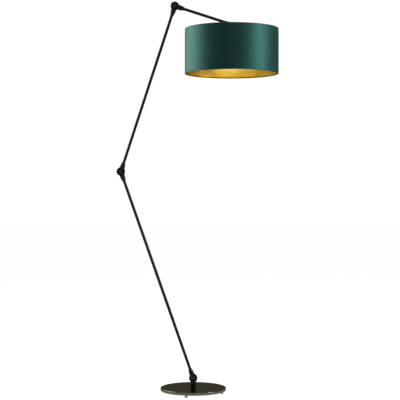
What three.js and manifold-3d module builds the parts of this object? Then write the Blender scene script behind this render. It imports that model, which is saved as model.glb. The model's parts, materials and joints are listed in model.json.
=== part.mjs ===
// Adjustable arm floor lamp: a weighted round base, two long tube arms and a short boom joined by
// friction knuckles, each clamped by a knob, and a drum shade hanging from the end of the boom.
// Millimetres, +Z up. The floor is z = 0, and the hinges all turn about Y. The origin lies on the
// floor under the middle of the lamp's outline, which is a little to the right of the base's centre.

import * as THREE from 'three';
import { mergeVertices } from 'three/addons/utils/BufferGeometryUtils.js';
import Module from 'manifold-3d';

const wasm = await Module();
wasm.setup();

// ---------------------------------------------------------------- driving dimensions

const GAP = 0.3; // left between touching pieces
const LAP = 1; // how far joined shapes run into each other

const BASE_RADIUS = 175;
const BASE_THICKNESS = 14.5;
const BASE_SHEET = 1.5;
const BASE_LIP = 6; // how far the cover turns in under the weight
const BASE_SHOULDER = 2.5;
const BASE_WEIGHT_RADIUS = 172;
const FOOT_HEIGHT = 14;
const FOOT_RADIUS = 7.25;
const FOOT_CIRCLE = 156.5;
const FOOT_COUNT = 4;
const FIRST_FOOT_DEGREES = -103.2;

const BASE_JOINT_HEIGHT = 78;
const LOWER_ARM_LENGTH = 1167; // hinge axis to hinge axis
const UPPER_ARM_LENGTH = 927;
const BOOM_LENGTH = 318;
const LOWER_ARM_LEAN = -19.3; // degrees from upright, positive towards +X
const UPPER_ARM_LEAN = 18.1;
const BOOM_LEAN = 107.9;

const TUBE_RADIUS = 8;
const TUBE_WALL = 1;
const CABLE_RADIUS = 3;
const CABLE_BORE = 3.8; // every bore that the cable runs through
const NIPPLE_RADIUS = 5; // M10 threaded tube
const THREAD_BORE = NIPPLE_RADIUS + GAP;

const SHADE_RADIUS = 250;
const SHADE_HEIGHT = 240;
const SHADE_SKIN = 1.6;
const SHADE_LINING = 0.5;
const SHADE_HEM = 5.1; // how far the skin turns in over the wire rings
const SHADE_HEM_SHEET = 1.5;
const SHADE_RING_WIRE = 1.2; // radius of the hoops' wire
const SPOKE_WIRE = 1.6;
const RIM_BELOW_HEAD_AXIS = 23.5;
const SPIDER_SPOKES = 3;
const FITTER_OUTER = 27;
const FITTER_INNER = 20.3;
const FITTER_DROP = 41.5; // from the rim down to the fitter ring's middle
const FITTER_SHEET = 2;

const SHADE_FACETS = 48;
const BASE_FACETS = 40;
const JOINT_FACETS = 20;
const NECK_FACETS = 12;
const SMALL_FACETS = 8;
const WIRE_SIDES = 5;

// The two sizes of knuckle: three large ones in the arms, and a small one at the head.
const LARGE_KNUCKLE = {
  radius: 22.5,
  neckRadius: 14.2,
  neckEnd: 8.4,
  neckLength: 53.5,
  neckStart: 15.4,
  hubRadius: 7.5,
  channelRadius: 17,
  channelDepth: 6.5,
  boltRadius: 4,
  boltHeadRadius: 9,
  boltHeadHeight: 3.6,
  washerRadius: 8.6,
  knobRadius: 13,
  knobHeight: 8.5,
};
const SMALL_KNUCKLE = {
  radius: 13,
  neckRadius: 9.5,
  neckEnd: 8.4,
  neckLength: 40,
  neckStart: 9.6,
  hubRadius: 4.4,
  channelRadius: 10.2,
  channelDepth: 5,
  boltRadius: 2.5,
  boltHeadRadius: 5,
  boltHeadHeight: 2.6,
  washerRadius: 5.6,
  knobRadius: 8,
  knobHeight: 7,
};
const FRICTION_WASHER = 1.2;
const FRICTION_WASHER_WIDTH = 3.9;
const SPIGOT_LENGTH = 14; // the part of a neck that goes into its tube
const THIN_WASHER = 1;

// ---------------------------------------------------------------- derived places

const HALF_INNER_FACE = FRICTION_WASHER / 2 + GAP;
const BASE_TOP = FOOT_HEIGHT + BASE_THICKNESS;
const SPIGOT_RADIUS = TUBE_RADIUS - TUBE_WALL - GAP;
const rad = THREE.MathUtils.degToRad;

const elbowX = LOWER_ARM_LENGTH * Math.sin(rad(LOWER_ARM_LEAN));
const headX =
  elbowX + UPPER_ARM_LENGTH * Math.sin(rad(UPPER_ARM_LEAN)) + BOOM_LENGTH * Math.sin(rad(BOOM_LEAN));
const leftmost = elbowX - LARGE_KNUCKLE.radius;
const rightmost = headX + SHADE_RADIUS;
const BASE_X = -(leftmost + rightmost) / 2;

// ---------------------------------------------------------------- materials

const paint = (name, color, roughness, metalness, more = {}) =>
  new THREE.MeshStandardMaterial({ name, color, roughness, metalness, ...more });

const finishes = {
  baseCoat: () => paint('base_coat', 0x2e2d29, 0.14, 0.6),
  castIron: () => paint('cast_iron', 0x2a2a2b, 0.7, 0.8),
  blackCoat: () => paint('black_coat', 0x17181a, 0.35, 0.5),
  knobBlack: () => paint('knob_black', 0x141414, 0.45, 0.2),
  zinc: () => paint('zinc_steel', 0x9a9da0, 0.35, 1),
  brass: () => paint('brass', 0xb08d46, 0.3, 1),
  fibre: () => paint('fibre', 0x5a3a26, 0.8, 0),
  clear: () => paint('clear_plastic', 0xe9eef0, 0.08, 0, { transparent: true, opacity: 0.35 }),
  velvet: () => paint('teal_velvet', 0x3f7a72, 0.75, 0),
  gold: () => paint('gold_foil', 0xd8a02c, 0.3, 0.8),
  wire: () => paint('coated_wire', 0xe4e2dc, 0.4, 0.3),
  holder: () => paint('holder_plastic', 0x1b1b1c, 0.4, 0),
  frosted: () => paint('frosted_globe', 0xf4f2ec, 0.5, 0),
  rubber: () => paint('black_rubber', 0x18181a, 0.7, 0),
};

// ---------------------------------------------------------------- shape helpers

const asVectors = (profile) => profile.map(([r, z]) => new THREE.Vector2(r, z));

// A profile of [radius, height] points turned about Y, the hinge direction.
function turned(profile, facets) {
  return new THREE.LatheGeometry(asVectors(profile), facets);
}

// The same about Z, the upright direction.
function spun(profile, facets) {
  return turned(profile, facets).rotateX(Math.PI / 2);
}

// A closed ring of rectangular section, as a profile for turned and spun.
function ringProfile(inner, outer, from, to) {
  return [[inner, from], [outer, from], [outer, to], [inner, to], [inner, from]];
}

function rodAlongY(radius, from, to, facets) {
  return new THREE.CylinderGeometry(radius, radius, to - from, facets).translate(0, (from + to) / 2, 0);
}

function rodAlongZ(radius, from, to, facets) {
  const rod = new THREE.CylinderGeometry(radius, radius, to - from, facets);
  return rod.rotateX(Math.PI / 2).translate(0, 0, (from + to) / 2);
}

// A box from its limits along X, Y and Z.
function block(...limits) {
  const size = limits.map(([from, to]) => to - from);
  const middle = limits.map(([from, to]) => (from + to) / 2);
  return new THREE.BoxGeometry(...size).translate(...middle);
}

// Points on an ellipse's arc, as [radius, height] pairs.
function arc(centreR, centreZ, sizeR, sizeZ, fromDegrees, toDegrees, steps) {
  return Array.from({ length: steps + 1 }, (_, i) => {
    const angle = rad(fromDegrees + ((toDegrees - fromDegrees) * i) / steps);
    return [centreR + sizeR * Math.cos(angle), centreZ + sizeZ * Math.sin(angle)];
  });
}

// A round wire or cable along a curve.
function wire(curve, radius, steps, sides) {
  const section = new THREE.Shape(
    Array.from({ length: sides }, (_, i) => {
      const angle = (2 * Math.PI * i) / sides;
      return new THREE.Vector2(radius * Math.cos(angle), radius * Math.sin(angle));
    }),
  );
  return new THREE.ExtrudeGeometry(section, { steps, extrudePath: curve, curveSegments: 1 });
}

// A closed geometry as a solid that can be joined and cut.
function solid(geometry) {
  const bare = geometry.clone();
  bare.deleteAttribute('normal');
  bare.deleteAttribute('uv');
  const merged = mergeVertices(bare, 1e-4);
  const corners = merged.index.array;
  const triangles = [];
  for (let i = 0; i < corners.length; i += 3) {
    const [a, b, c] = corners.slice(i, i + 3);
    if (a !== b && b !== c && c !== a) triangles.push(a, b, c);
  }
  return new wasm.Manifold(
    new wasm.Mesh({
      numProp: 3,
      vertProperties: new Float32Array(merged.attributes.position.array),
      triVerts: new Uint32Array(triangles),
    }),
  );
}

function join(...geometries) {
  return geometries.map(solid).reduce((whole, piece) => whole.add(piece));
}

function cut(whole, ...geometries) {
  return geometries.map(solid).reduce((left, tool) => left.subtract(tool), whole);
}

function shapeOf(manifold) {
  const { vertProperties, triVerts } = manifold.getMesh();
  const indexed = new THREE.BufferGeometry();
  indexed.setAttribute('position', new THREE.BufferAttribute(vertProperties, 3));
  indexed.setIndex(new THREE.BufferAttribute(triVerts, 1));
  const faceted = indexed.toNonIndexed();
  faceted.computeVertexNormals();
  return faceted;
}

// A named piece. Its shape is a geometry, or a solid that was cut or joined.
function piece(name, shape, finish) {
  const geometry = shape.isBufferGeometry ? shape : shapeOf(shape);
  const mesh = new THREE.Mesh(geometry, finish());
  mesh.name = name;
  return mesh;
}

// ---------------------------------------------------------------- knuckles

// The neck tapers like a bullet from the disc to the tube, and its spigot goes into the tube.
function bulletNeck(size, length) {
  const taper = new THREE.QuadraticBezierCurve(
    new THREE.Vector2(size.neckRadius, size.radius + LAP),
    new THREE.Vector2(size.neckRadius - 0.4, size.radius + 0.53 * (length - size.radius)),
    new THREE.Vector2(size.neckEnd, length),
  );
  const side = taper.getPoints(3).map((point) => [point.x, point.y]);
  return spun([[0, size.neckStart], [size.neckRadius, size.neckStart], ...side, [0, length]], NECK_FACETS);
}

function straightNeck(size, length) {
  return rodAlongZ(size.neckRadius, size.neckStart, length, NECK_FACETS);
}

// One half of a knuckle with its neck along +Z. Side is +1 for the half at +Y, that holds the bolt,
// and -1 for the half under the knob. A ring channel round the hub lets the cable past the bolt.
function knuckleHalf(size, side, neck, length, endBore) {
  const outerFace = size.neckRadius;
  const between = (from, to) => (side > 0 ? [from, to] : [-to, -from]);
  const disc = rodAlongY(size.radius, ...between(HALF_INNER_FACE, outerFace), JOINT_FACETS);
  const room = rodAlongY(size.radius + LAP, ...between(-outerFace - LAP, HALF_INNER_FACE), JOINT_FACETS);
  const channel = turned(
    ringProfile(
      size.hubRadius,
      size.channelRadius,
      ...between(HALF_INNER_FACE - LAP, HALF_INNER_FACE + size.channelDepth),
    ),
    NECK_FACETS,
  );
  const boltHole = rodAlongY(
    size.boltRadius + GAP,
    ...between(HALF_INNER_FACE - LAP, outerFace + LAP),
    NECK_FACETS,
  );
  const cableBore = rodAlongZ(
    CABLE_BORE,
    size.channelRadius - LAP,
    length + SPIGOT_LENGTH + LAP,
    SMALL_FACETS,
  );
  const shapes = [disc, neck(size, length)];
  if (!endBore) shapes.push(rodAlongZ(SPIGOT_RADIUS, length - LAP, length + SPIGOT_LENGTH, NECK_FACETS));
  const cuts = [room, channel, boltHole, cableBore];
  if (endBore) cuts.push(rodAlongZ(THREAD_BORE, length - endBore, length + LAP, SMALL_FACETS));
  return cut(join(...shapes), ...cuts);
}

const armHalf = (size, side) => knuckleHalf(size, side, bulletNeck, size.neckLength, 0);

// The pieces of a knuckle that stay with its parent: friction washer, bolt, spring washer, the
// washer under the knob, and the knob itself. The parent's half is at +Y, the knob at -Y.
function clampPieces(name, size) {
  const face = size.neckRadius;
  const boltHole = size.boltRadius + GAP;
  const underHead = face + GAP + THIN_WASHER + GAP;
  const headTop = underHead + size.boltHeadHeight;
  const knobBack = -(face + GAP + THIN_WASHER + GAP);
  const knobFront = knobBack - size.knobHeight;
  const boltEnd = knobFront + 2;
  const domeRise = 0.45 * size.knobHeight;
  const dome = arc(0, knobFront + domeRise, size.knobRadius, domeRise, -90, 0, 3);
  return [
    piece(
      `${name}_friction_washer`,
      turned(
        ringProfile(
          size.radius - GAP - FRICTION_WASHER_WIDTH * (size.radius / LARGE_KNUCKLE.radius),
          size.radius - GAP,
          -FRICTION_WASHER / 2,
          FRICTION_WASHER / 2,
        ),
        JOINT_FACETS,
      ),
      finishes.fibre,
    ),
    piece(
      `${name}_clamp_bolt`,
      turned(
        [
          [0, boltEnd],
          [size.boltRadius, boltEnd],
          [size.boltRadius, underHead],
          [size.boltHeadRadius, underHead],
          [size.boltHeadRadius, headTop - 1],
          [size.boltHeadRadius - 1.2, headTop],
          [0, headTop],
        ],
        NECK_FACETS,
      ),
      finishes.blackCoat,
    ),
    piece(
      `${name}_spring_washer`,
      turned(ringProfile(boltHole, size.washerRadius, face + GAP, face + GAP + THIN_WASHER), NECK_FACETS),
      finishes.zinc,
    ),
    piece(
      `${name}_knob_washer`,
      turned(ringProfile(boltHole, size.washerRadius, -(face + GAP + THIN_WASHER), -(face + GAP)), NECK_FACETS),
      finishes.zinc,
    ),
    piece(
      `${name}_knob`,
      turned(
        [
          ...dome,
          [size.knobRadius, knobBack - 0.8],
          [size.knobRadius - 0.8, knobBack],
          [boltHole, knobBack],
          [boltHole, boltEnd - GAP],
          [0, boltEnd - GAP],
        ],
        JOINT_FACETS,
      ),
      finishes.knobBlack,
    ),
  ];
}

// ---------------------------------------------------------------- base

const weightBottom = FOOT_HEIGHT + 1.8;
const weightTop = BASE_TOP - BASE_SHEET - GAP;
const recessRadius = 20;
const recessTop = weightTop - 4.2;
const cableHeight = FOOT_HEIGHT + 6;
const glandRadius = 4.3;
const glandInnerEnd = 151;
const HALF_FACET_OF_GLAND = Math.PI / NECK_FACETS;
const centreHole = THREAD_BORE;
const pegRadius = 2.5;
const pegHeight = 7;

const footPlaces = Array.from({ length: FOOT_COUNT }, (_, i) => {
  const angle = rad(FIRST_FOOT_DEGREES + (360 * i) / FOOT_COUNT);
  return [FOOT_CIRCLE * Math.cos(angle), FOOT_CIRCLE * Math.sin(angle)];
});

// A pressed steel cover with an upright side and a lip that turns in under the weight.
function baseCover() {
  const lipEnd = BASE_RADIUS - BASE_LIP;
  const shoulderAt = [BASE_RADIUS - BASE_SHOULDER, BASE_TOP - BASE_SHOULDER];
  const shoulderInside = BASE_SHOULDER - BASE_SHEET;
  const profile = [
    [lipEnd, FOOT_HEIGHT],
    [BASE_RADIUS - BASE_SHEET, FOOT_HEIGHT],
    [BASE_RADIUS, FOOT_HEIGHT + BASE_SHEET],
    ...arc(...shoulderAt, BASE_SHOULDER, BASE_SHOULDER, 0, 90, 3),
    [centreHole, BASE_TOP],
    [centreHole, BASE_TOP - BASE_SHEET],
    ...arc(...shoulderAt, shoulderInside, shoulderInside, 90, 0, 2),
    [BASE_RADIUS - BASE_SHEET, FOOT_HEIGHT + BASE_SHEET],
    [lipEnd, FOOT_HEIGHT + BASE_SHEET],
    [lipEnd, FOOT_HEIGHT],
  ];
  const glandHole = rodAlongY(glandRadius + GAP, lipEnd - LAP, BASE_RADIUS + LAP, NECK_FACETS);
  return cut(
    solid(spun(profile, BASE_FACETS)),
    glandHole.rotateY(HALF_FACET_OF_GLAND).translate(0, 0, cableHeight),
  );
}

// A cast disc with a recess for the nut, a groove for the cable and a blind hole for each foot.
function baseWeight() {
  const chamfer = 1;
  const profile = [
    [centreHole, recessTop],
    [recessRadius, recessTop],
    [recessRadius, weightBottom],
    [BASE_WEIGHT_RADIUS - chamfer, weightBottom],
    [BASE_WEIGHT_RADIUS, weightBottom + chamfer],
    [BASE_WEIGHT_RADIUS, weightTop - chamfer],
    [BASE_WEIGHT_RADIUS - chamfer, weightTop],
    [centreHole, weightTop],
    [centreHole, recessTop],
  ];
  const grooveHalf = CABLE_RADIUS + 1;
  const pocketHalf = glandRadius + GAP;
  const groove = block(
    [-grooveHalf, grooveHalf],
    [recessRadius - LAP, BASE_WEIGHT_RADIUS + LAP],
    [weightBottom - LAP, cableHeight + CABLE_RADIUS + GAP],
  );
  const pocket = block(
    [-pocketHalf, pocketHalf],
    [glandInnerEnd - GAP, BASE_WEIGHT_RADIUS + LAP],
    [weightBottom - LAP, cableHeight + pocketHalf],
  );
  const pegHoles = footPlaces.map(([x, y]) =>
    rodAlongZ(pegRadius + GAP, weightBottom - LAP, weightBottom + pegHeight, SMALL_FACETS).translate(x, y, 0),
  );
  return cut(solid(spun(profile, BASE_FACETS)), groove, pocket, ...pegHoles);
}

// A clear plastic glide with a peg that is pressed into the weight.
function foot() {
  const top = weightBottom - GAP;
  const edge = 0.8;
  return spun(
    [
      [0, 0],
      [FOOT_RADIUS - edge, 0],
      [FOOT_RADIUS, edge],
      [FOOT_RADIUS, top],
      [pegRadius, top],
      [pegRadius, top + pegHeight],
      [0, top + pegHeight],
    ],
    NECK_FACETS,
  );
}

// The strain relief bush in the back edge. The cord that it holds isn't part of the model.
function cableGland() {
  const bore = CABLE_RADIUS + GAP;
  const flangeRadius = 6.2;
  const flangeFrom = BASE_RADIUS + GAP;
  const bush = turned(
    [
      [bore, glandInnerEnd],
      [glandRadius, glandInnerEnd],
      [glandRadius, flangeFrom],
      [flangeRadius, flangeFrom],
      [flangeRadius, flangeFrom + 2],
      [glandRadius, flangeFrom + 7],
      [bore, flangeFrom + 7],
      [bore, glandInnerEnd],
    ],
    NECK_FACETS,
  );
  return bush.rotateY(HALF_FACET_OF_GLAND).translate(0, 0, cableHeight);
}

function baseCable() {
  const bendDepth = 8;
  const route = new THREE.CatmullRomCurve3(
    [
      [0, 0, BASE_TOP + 14],
      [0, 0, BASE_TOP],
      [0, 0, weightBottom - 1],
      [0, 7, bendDepth],
      [0, 20, bendDepth + 3],
      [0, 32, cableHeight - 1],
      [0, 48, cableHeight],
      [0, 100, cableHeight],
      [0, glandInnerEnd - 1, cableHeight],
    ].map((place) => new THREE.Vector3(...place)),
    false,
    'centripetal',
  );
  return wire(route, CABLE_RADIUS - 0.4, 22, SMALL_FACETS);
}

function makeBase() {
  const base = new THREE.Group();
  base.position.set(BASE_X, 0, 0);
  base.add(piece('base_cover', baseCover(), finishes.baseCoat));
  base.add(piece('base_weight', baseWeight(), finishes.castIron));
  footPlaces.forEach(([x, y], i) => {
    const glide = piece(`base_foot_${i + 1}`, foot(), finishes.clear);
    glide.position.set(x, y, 0);
    base.add(glide);
  });
  const washerTop = recessTop - GAP;
  const washerBottom = washerTop - 1.3;
  const nutTop = washerBottom - GAP;
  const nutBottom = nutTop - 5;
  const nippleProfile = ringProfile(CABLE_BORE, NIPPLE_RADIUS, nutBottom - 1, BASE_TOP + 19);
  base.add(piece('base_nipple', spun(nippleProfile, SMALL_FACETS), finishes.zinc));
  base.add(
    piece('base_washer', spun(ringProfile(THREAD_BORE, 14, washerBottom, washerTop), NECK_FACETS), finishes.zinc),
  );
  const nut = cut(
    solid(rodAlongZ(9.8, nutBottom, nutTop, 6)),
    rodAlongZ(THREAD_BORE, nutBottom - LAP, nutTop + LAP, SMALL_FACETS),
  );
  base.add(piece('base_nut', nut, finishes.zinc));
  base.add(piece('cable_gland', cableGland(), finishes.rubber));
  base.add(piece('base_cable', baseCable(), finishes.rubber));

  const joint = new THREE.Group();
  joint.position.set(0, 0, BASE_JOINT_HEIGHT);
  const neckLength = BASE_JOINT_HEIGHT - BASE_TOP - GAP;
  const lowerHalf = piece(
    'base_joint_lower_half',
    knuckleHalf(LARGE_KNUCKLE, 1, straightNeck, neckLength, 21),
    finishes.blackCoat,
  );
  lowerHalf.rotation.y = Math.PI;
  joint.add(lowerHalf, ...clampPieces('base_joint', LARGE_KNUCKLE));
  base.add(joint);
  return { base, joint };
}

// ---------------------------------------------------------------- arms

// A tube with the cable inside it, between the knuckle halves of its two ends. The group's origin is
// the lower hinge axis and the arm runs along +Z. The far half holds the next knuckle's clamp.
function makeArm(arm, lean, parentLean, length, near, far) {
  const group = new THREE.Group();
  group.rotation.y = rad(lean - parentLean);
  group.add(piece(near.name, armHalf(near.size, -1), finishes.blackCoat));
  const tube = ringProfile(
    TUBE_RADIUS - TUBE_WALL,
    TUBE_RADIUS,
    near.size.neckLength + GAP,
    length - far.size.neckLength - GAP,
  );
  group.add(piece(`${arm}_tube`, spun(tube, NECK_FACETS), finishes.blackCoat));
  const cableFrom = near.size.radius + 3;
  const cableTo = length - far.size.radius - 3;
  group.add(piece(`${arm}_cable`, rodAlongZ(CABLE_RADIUS, cableFrom, cableTo, SMALL_FACETS), finishes.rubber));

  const joint = new THREE.Group();
  joint.position.set(0, 0, length);
  const farHalf = piece(far.name, armHalf(far.size, 1), finishes.blackCoat);
  farHalf.rotation.y = Math.PI;
  joint.add(farHalf, ...clampPieces(far.joint, far.size));
  group.add(joint);
  return { group, joint };
}

// ---------------------------------------------------------------- shade and lampholder

const rimTop = -RIM_BELOW_HEAD_AXIS;
const rimBottom = rimTop - SHADE_HEIGHT;
const fitterMiddle = rimTop - FITTER_DROP;
const ringInset = SHADE_HEM_SHEET + GAP + SHADE_RING_WIRE;
const ringRadius = SHADE_RADIUS - SHADE_HEM + SHADE_RING_WIRE;

// The covering turns in over a wire ring at each rim.
function shadeDrum() {
  const inner = SHADE_RADIUS - SHADE_SKIN;
  const hem = SHADE_RADIUS - SHADE_HEM;
  const edge = 0.8;
  const profile = [
    [hem, rimBottom],
    [SHADE_RADIUS - edge, rimBottom],
    [SHADE_RADIUS, rimBottom + edge],
    [SHADE_RADIUS, rimTop - edge],
    [SHADE_RADIUS - edge, rimTop],
    [hem, rimTop],
    [hem, rimTop - SHADE_HEM_SHEET],
    [inner, rimTop - SHADE_HEM_SHEET],
    [inner, rimBottom + SHADE_HEM_SHEET],
    [hem, rimBottom + SHADE_HEM_SHEET],
    [hem, rimBottom],
  ];
  return spun(profile, SHADE_FACETS);
}

function shadeLining() {
  const outer = SHADE_RADIUS - SHADE_SKIN - GAP;
  const margin = SHADE_HEM_SHEET + GAP;
  return spun(ringProfile(outer - SHADE_LINING, outer, rimBottom + margin, rimTop - margin), SHADE_FACETS);
}

// A wire hoop inside a hem.
function hoop(height) {
  const ring = new THREE.TorusGeometry(ringRadius, SHADE_RING_WIRE, WIRE_SIDES, SHADE_FACETS);
  return ring.translate(0, 0, height);
}

// The fitter ring and the spokes that rise from it to the top hoop, welded together.
function shadeSpider() {
  const ringHeight = rimTop - ringInset;
  const reach = SHADE_RADIUS - SHADE_HEM - 2 * GAP;
  const fitterTop = fitterMiddle + FITTER_SHEET / 2;
  const fitter = spun(
    ringProfile(FITTER_INNER, FITTER_OUTER, fitterTop - FITTER_SHEET, fitterTop),
    JOINT_FACETS,
  );
  const spokeFrom = FITTER_OUTER - 2.2;
  const spoke = new THREE.CatmullRomCurve3(
    [
      new THREE.Vector3(spokeFrom, 0, fitterTop + 0.6),
      new THREE.Vector3(spokeFrom + 14, 0, fitterTop + 3),
      new THREE.Vector3(0.4 * reach, 0, ringHeight - 6),
      new THREE.Vector3(reach - 30, 0, ringHeight - 0.6),
      new THREE.Vector3(reach, 0, ringHeight),
    ],
    false,
    'centripetal',
  );
  const spokes = Array.from({ length: SPIDER_SPOKES }, (_, i) =>
    wire(spoke, SPOKE_WIRE, 10, WIRE_SIDES).rotateZ(Math.PI / 2 + (2 * Math.PI * i) / SPIDER_SPOKES),
  );
  return join(fitter, ...spokes);
}

// The lampholder hangs on a threaded tube below the knuckle's neck. The fitter ring is clamped
// between the flange of the holder's body and the retaining ring below it.
const headNeckLength = 34;
const holderTop = -headNeckLength - GAP;
const holderRadius = 19.5;
const capHeight = 18;
const bodyTop = holderTop - capHeight - GAP;
const flangeBottom = fitterMiddle + FITTER_SHEET / 2 + GAP;
const socketRadius = 13.7;
const socketTop = bodyTop - 4.5;
const bulbTop = socketTop - 3.6;
const bulbCapBottom = bulbTop - 26;
const bulbLength = 107;
const bulbRadius = 30;
const bodyBottom = bulbCapBottom + 0.5;

function holderCap() {
  const wall = 2;
  const top = holderTop;
  const bottom = top - capHeight;
  const shoulder = 8;
  const flat = 9;
  const outside = arc(flat, bottom + shoulder, holderRadius - flat, capHeight - shoulder, 0, 90, 3);
  const inside = arc(
    flat,
    bottom + shoulder,
    holderRadius - flat - wall,
    capHeight - shoulder - wall,
    90,
    0,
    2,
  );
  return spun(
    [
      [holderRadius, bottom],
      ...outside,
      [THREAD_BORE, top],
      [THREAD_BORE, top - wall],
      ...inside,
      [holderRadius - wall, bottom],
      [holderRadius, bottom],
    ],
    JOINT_FACETS,
  );
}

function holderBody() {
  const flangeRadius = 23;
  const flangeHeight = 2.6;
  return spun(
    [
      [0, socketTop],
      [socketRadius, socketTop],
      [socketRadius, bodyBottom],
      [holderRadius, bodyBottom],
      [holderRadius, flangeBottom],
      [flangeRadius, flangeBottom],
      [flangeRadius, flangeBottom + flangeHeight],
      [holderRadius, flangeBottom + flangeHeight],
      [holderRadius, bodyTop],
      [0, bodyTop],
    ],
    JOINT_FACETS,
  );
}

function bulbCap() {
  const shellRadius = 13.1;
  return spun(
    [
      [0, bulbCapBottom],
      [shellRadius, bulbCapBottom],
      [shellRadius, bulbTop - 5],
      [4.5, bulbTop - 1.5],
      [4.5, bulbTop],
      [0, bulbTop],
    ],
    NECK_FACETS,
  );
}

// A hollow globe on a tapering neck, open where it meets its cap.
function bulbGlobe() {
  const wall = 2;
  const neckRadius = 14.5;
  const top = bulbCapBottom - GAP;
  const bottom = bulbTop - bulbLength;
  const middle = bottom + bulbRadius;
  const shell = (inset) => {
    const radius = bulbRadius - inset;
    const shoulderDegrees = 48;
    return arc(0, middle, radius, radius, -90, shoulderDegrees, 6).concat([[neckRadius - inset, top]]);
  };
  return spun([...shell(0), ...shell(wall).reverse()], NECK_FACETS);
}

function makeHead() {
  const head = new THREE.Group();
  const neck = piece(
    'head_shade_half',
    knuckleHalf(SMALL_KNUCKLE, -1, bulletNeck, headNeckLength, 9),
    finishes.blackCoat,
  );
  neck.rotation.y = Math.PI;
  head.add(neck);
  const nippleProfile = ringProfile(CABLE_BORE, NIPPLE_RADIUS, holderTop - 8, holderTop + 8);
  head.add(piece('holder_nipple', spun(nippleProfile, SMALL_FACETS), finishes.zinc));
  head.add(piece('holder_cap', holderCap(), finishes.holder));
  head.add(piece('holder_body', holderBody(), finishes.holder));
  const retainerTop = fitterMiddle - FITTER_SHEET / 2 - GAP;
  const retainer = ringProfile(holderRadius + GAP, FITTER_OUTER, retainerTop - 7, retainerTop);
  head.add(piece('holder_ring', spun(retainer, JOINT_FACETS), finishes.holder));
  head.add(piece('holder_contact', rodAlongZ(5, bulbTop + GAP, socketTop - GAP, SMALL_FACETS), finishes.brass));
  head.add(piece('bulb_cap', bulbCap(), finishes.brass));
  head.add(piece('bulb_globe', bulbGlobe(), finishes.frosted));
  head.add(piece('shade_spider', shadeSpider(), finishes.wire));
  head.add(piece('shade_top_ring', hoop(rimTop - ringInset), finishes.wire));
  head.add(piece('shade_bottom_ring', hoop(rimBottom + ringInset), finishes.wire));
  head.add(piece('shade_lining', shadeLining(), finishes.gold));
  head.add(piece('shade_drum', shadeDrum(), finishes.velvet));
  return head;
}

// ---------------------------------------------------------------- assembly

const lamp = new THREE.Group();
const { base, joint: baseJoint } = makeBase();
lamp.add(base);

const lowerArm = makeArm(
  'lower_arm',
  LOWER_ARM_LEAN,
  0,
  LOWER_ARM_LENGTH,
  { name: 'base_joint_upper_half', size: LARGE_KNUCKLE },
  { name: 'elbow_lower_half', joint: 'elbow', size: LARGE_KNUCKLE },
);
baseJoint.add(lowerArm.group);

const upperArm = makeArm(
  'upper_arm',
  UPPER_ARM_LEAN,
  LOWER_ARM_LEAN,
  UPPER_ARM_LENGTH,
  { name: 'elbow_upper_half', size: LARGE_KNUCKLE },
  { name: 'shoulder_arm_half', joint: 'shoulder', size: LARGE_KNUCKLE },
);
lowerArm.joint.add(upperArm.group);

const boom = makeArm(
  'boom',
  BOOM_LEAN,
  UPPER_ARM_LEAN,
  BOOM_LENGTH,
  { name: 'shoulder_boom_half', size: LARGE_KNUCKLE },
  { name: 'head_boom_half', joint: 'head', size: SMALL_KNUCKLE },
);
upperArm.joint.add(boom.group);

// The shade hangs upright, so its group undoes the boom's lean.
const head = makeHead();
head.rotation.y = rad(-BOOM_LEAN);
boom.joint.add(head);

export default lamp;
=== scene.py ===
import json
import math

import bmesh
import bpy
import numpy as np
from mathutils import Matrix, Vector


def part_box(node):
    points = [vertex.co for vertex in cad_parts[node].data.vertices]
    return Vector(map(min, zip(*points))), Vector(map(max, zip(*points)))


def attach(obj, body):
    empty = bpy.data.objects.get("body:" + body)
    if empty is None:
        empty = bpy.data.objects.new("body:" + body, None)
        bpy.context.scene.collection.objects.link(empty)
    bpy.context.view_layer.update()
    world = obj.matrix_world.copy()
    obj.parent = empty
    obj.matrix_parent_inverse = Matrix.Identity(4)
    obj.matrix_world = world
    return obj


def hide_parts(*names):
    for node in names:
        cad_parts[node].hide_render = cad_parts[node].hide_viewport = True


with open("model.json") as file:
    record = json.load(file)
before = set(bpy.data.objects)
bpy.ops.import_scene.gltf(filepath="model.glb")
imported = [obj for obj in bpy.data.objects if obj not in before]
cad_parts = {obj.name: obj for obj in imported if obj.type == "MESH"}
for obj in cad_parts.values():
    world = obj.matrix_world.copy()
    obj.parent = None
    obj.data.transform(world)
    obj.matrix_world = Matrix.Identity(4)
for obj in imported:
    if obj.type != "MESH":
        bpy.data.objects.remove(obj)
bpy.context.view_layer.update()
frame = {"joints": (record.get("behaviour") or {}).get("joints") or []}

# -------- base cover
# The base is a heavy disc under a cover pressed from sheet steel, with an upright side and a lip that
# turns in under the disc. It is plated black nickel, a dark mirror with a little olive at low angles.

MM = 0.001
UP = (0, 0, 1)
BORE, BORE_EDGE = 5.3, 6.4  # the hole that clears the threaded tube


def bow(centre, size, start, stop, steps):
    """Points on an ellipse's arc: the centre plus the half sizes times the cosine and sine of an
    angle that runs from start to stop degrees."""
    angle = np.radians(np.linspace(start, stop, steps))
    return np.stack([centre[0] + size[0] * np.cos(angle), centre[1] + size[1] * np.sin(angle)], axis=1)


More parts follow.
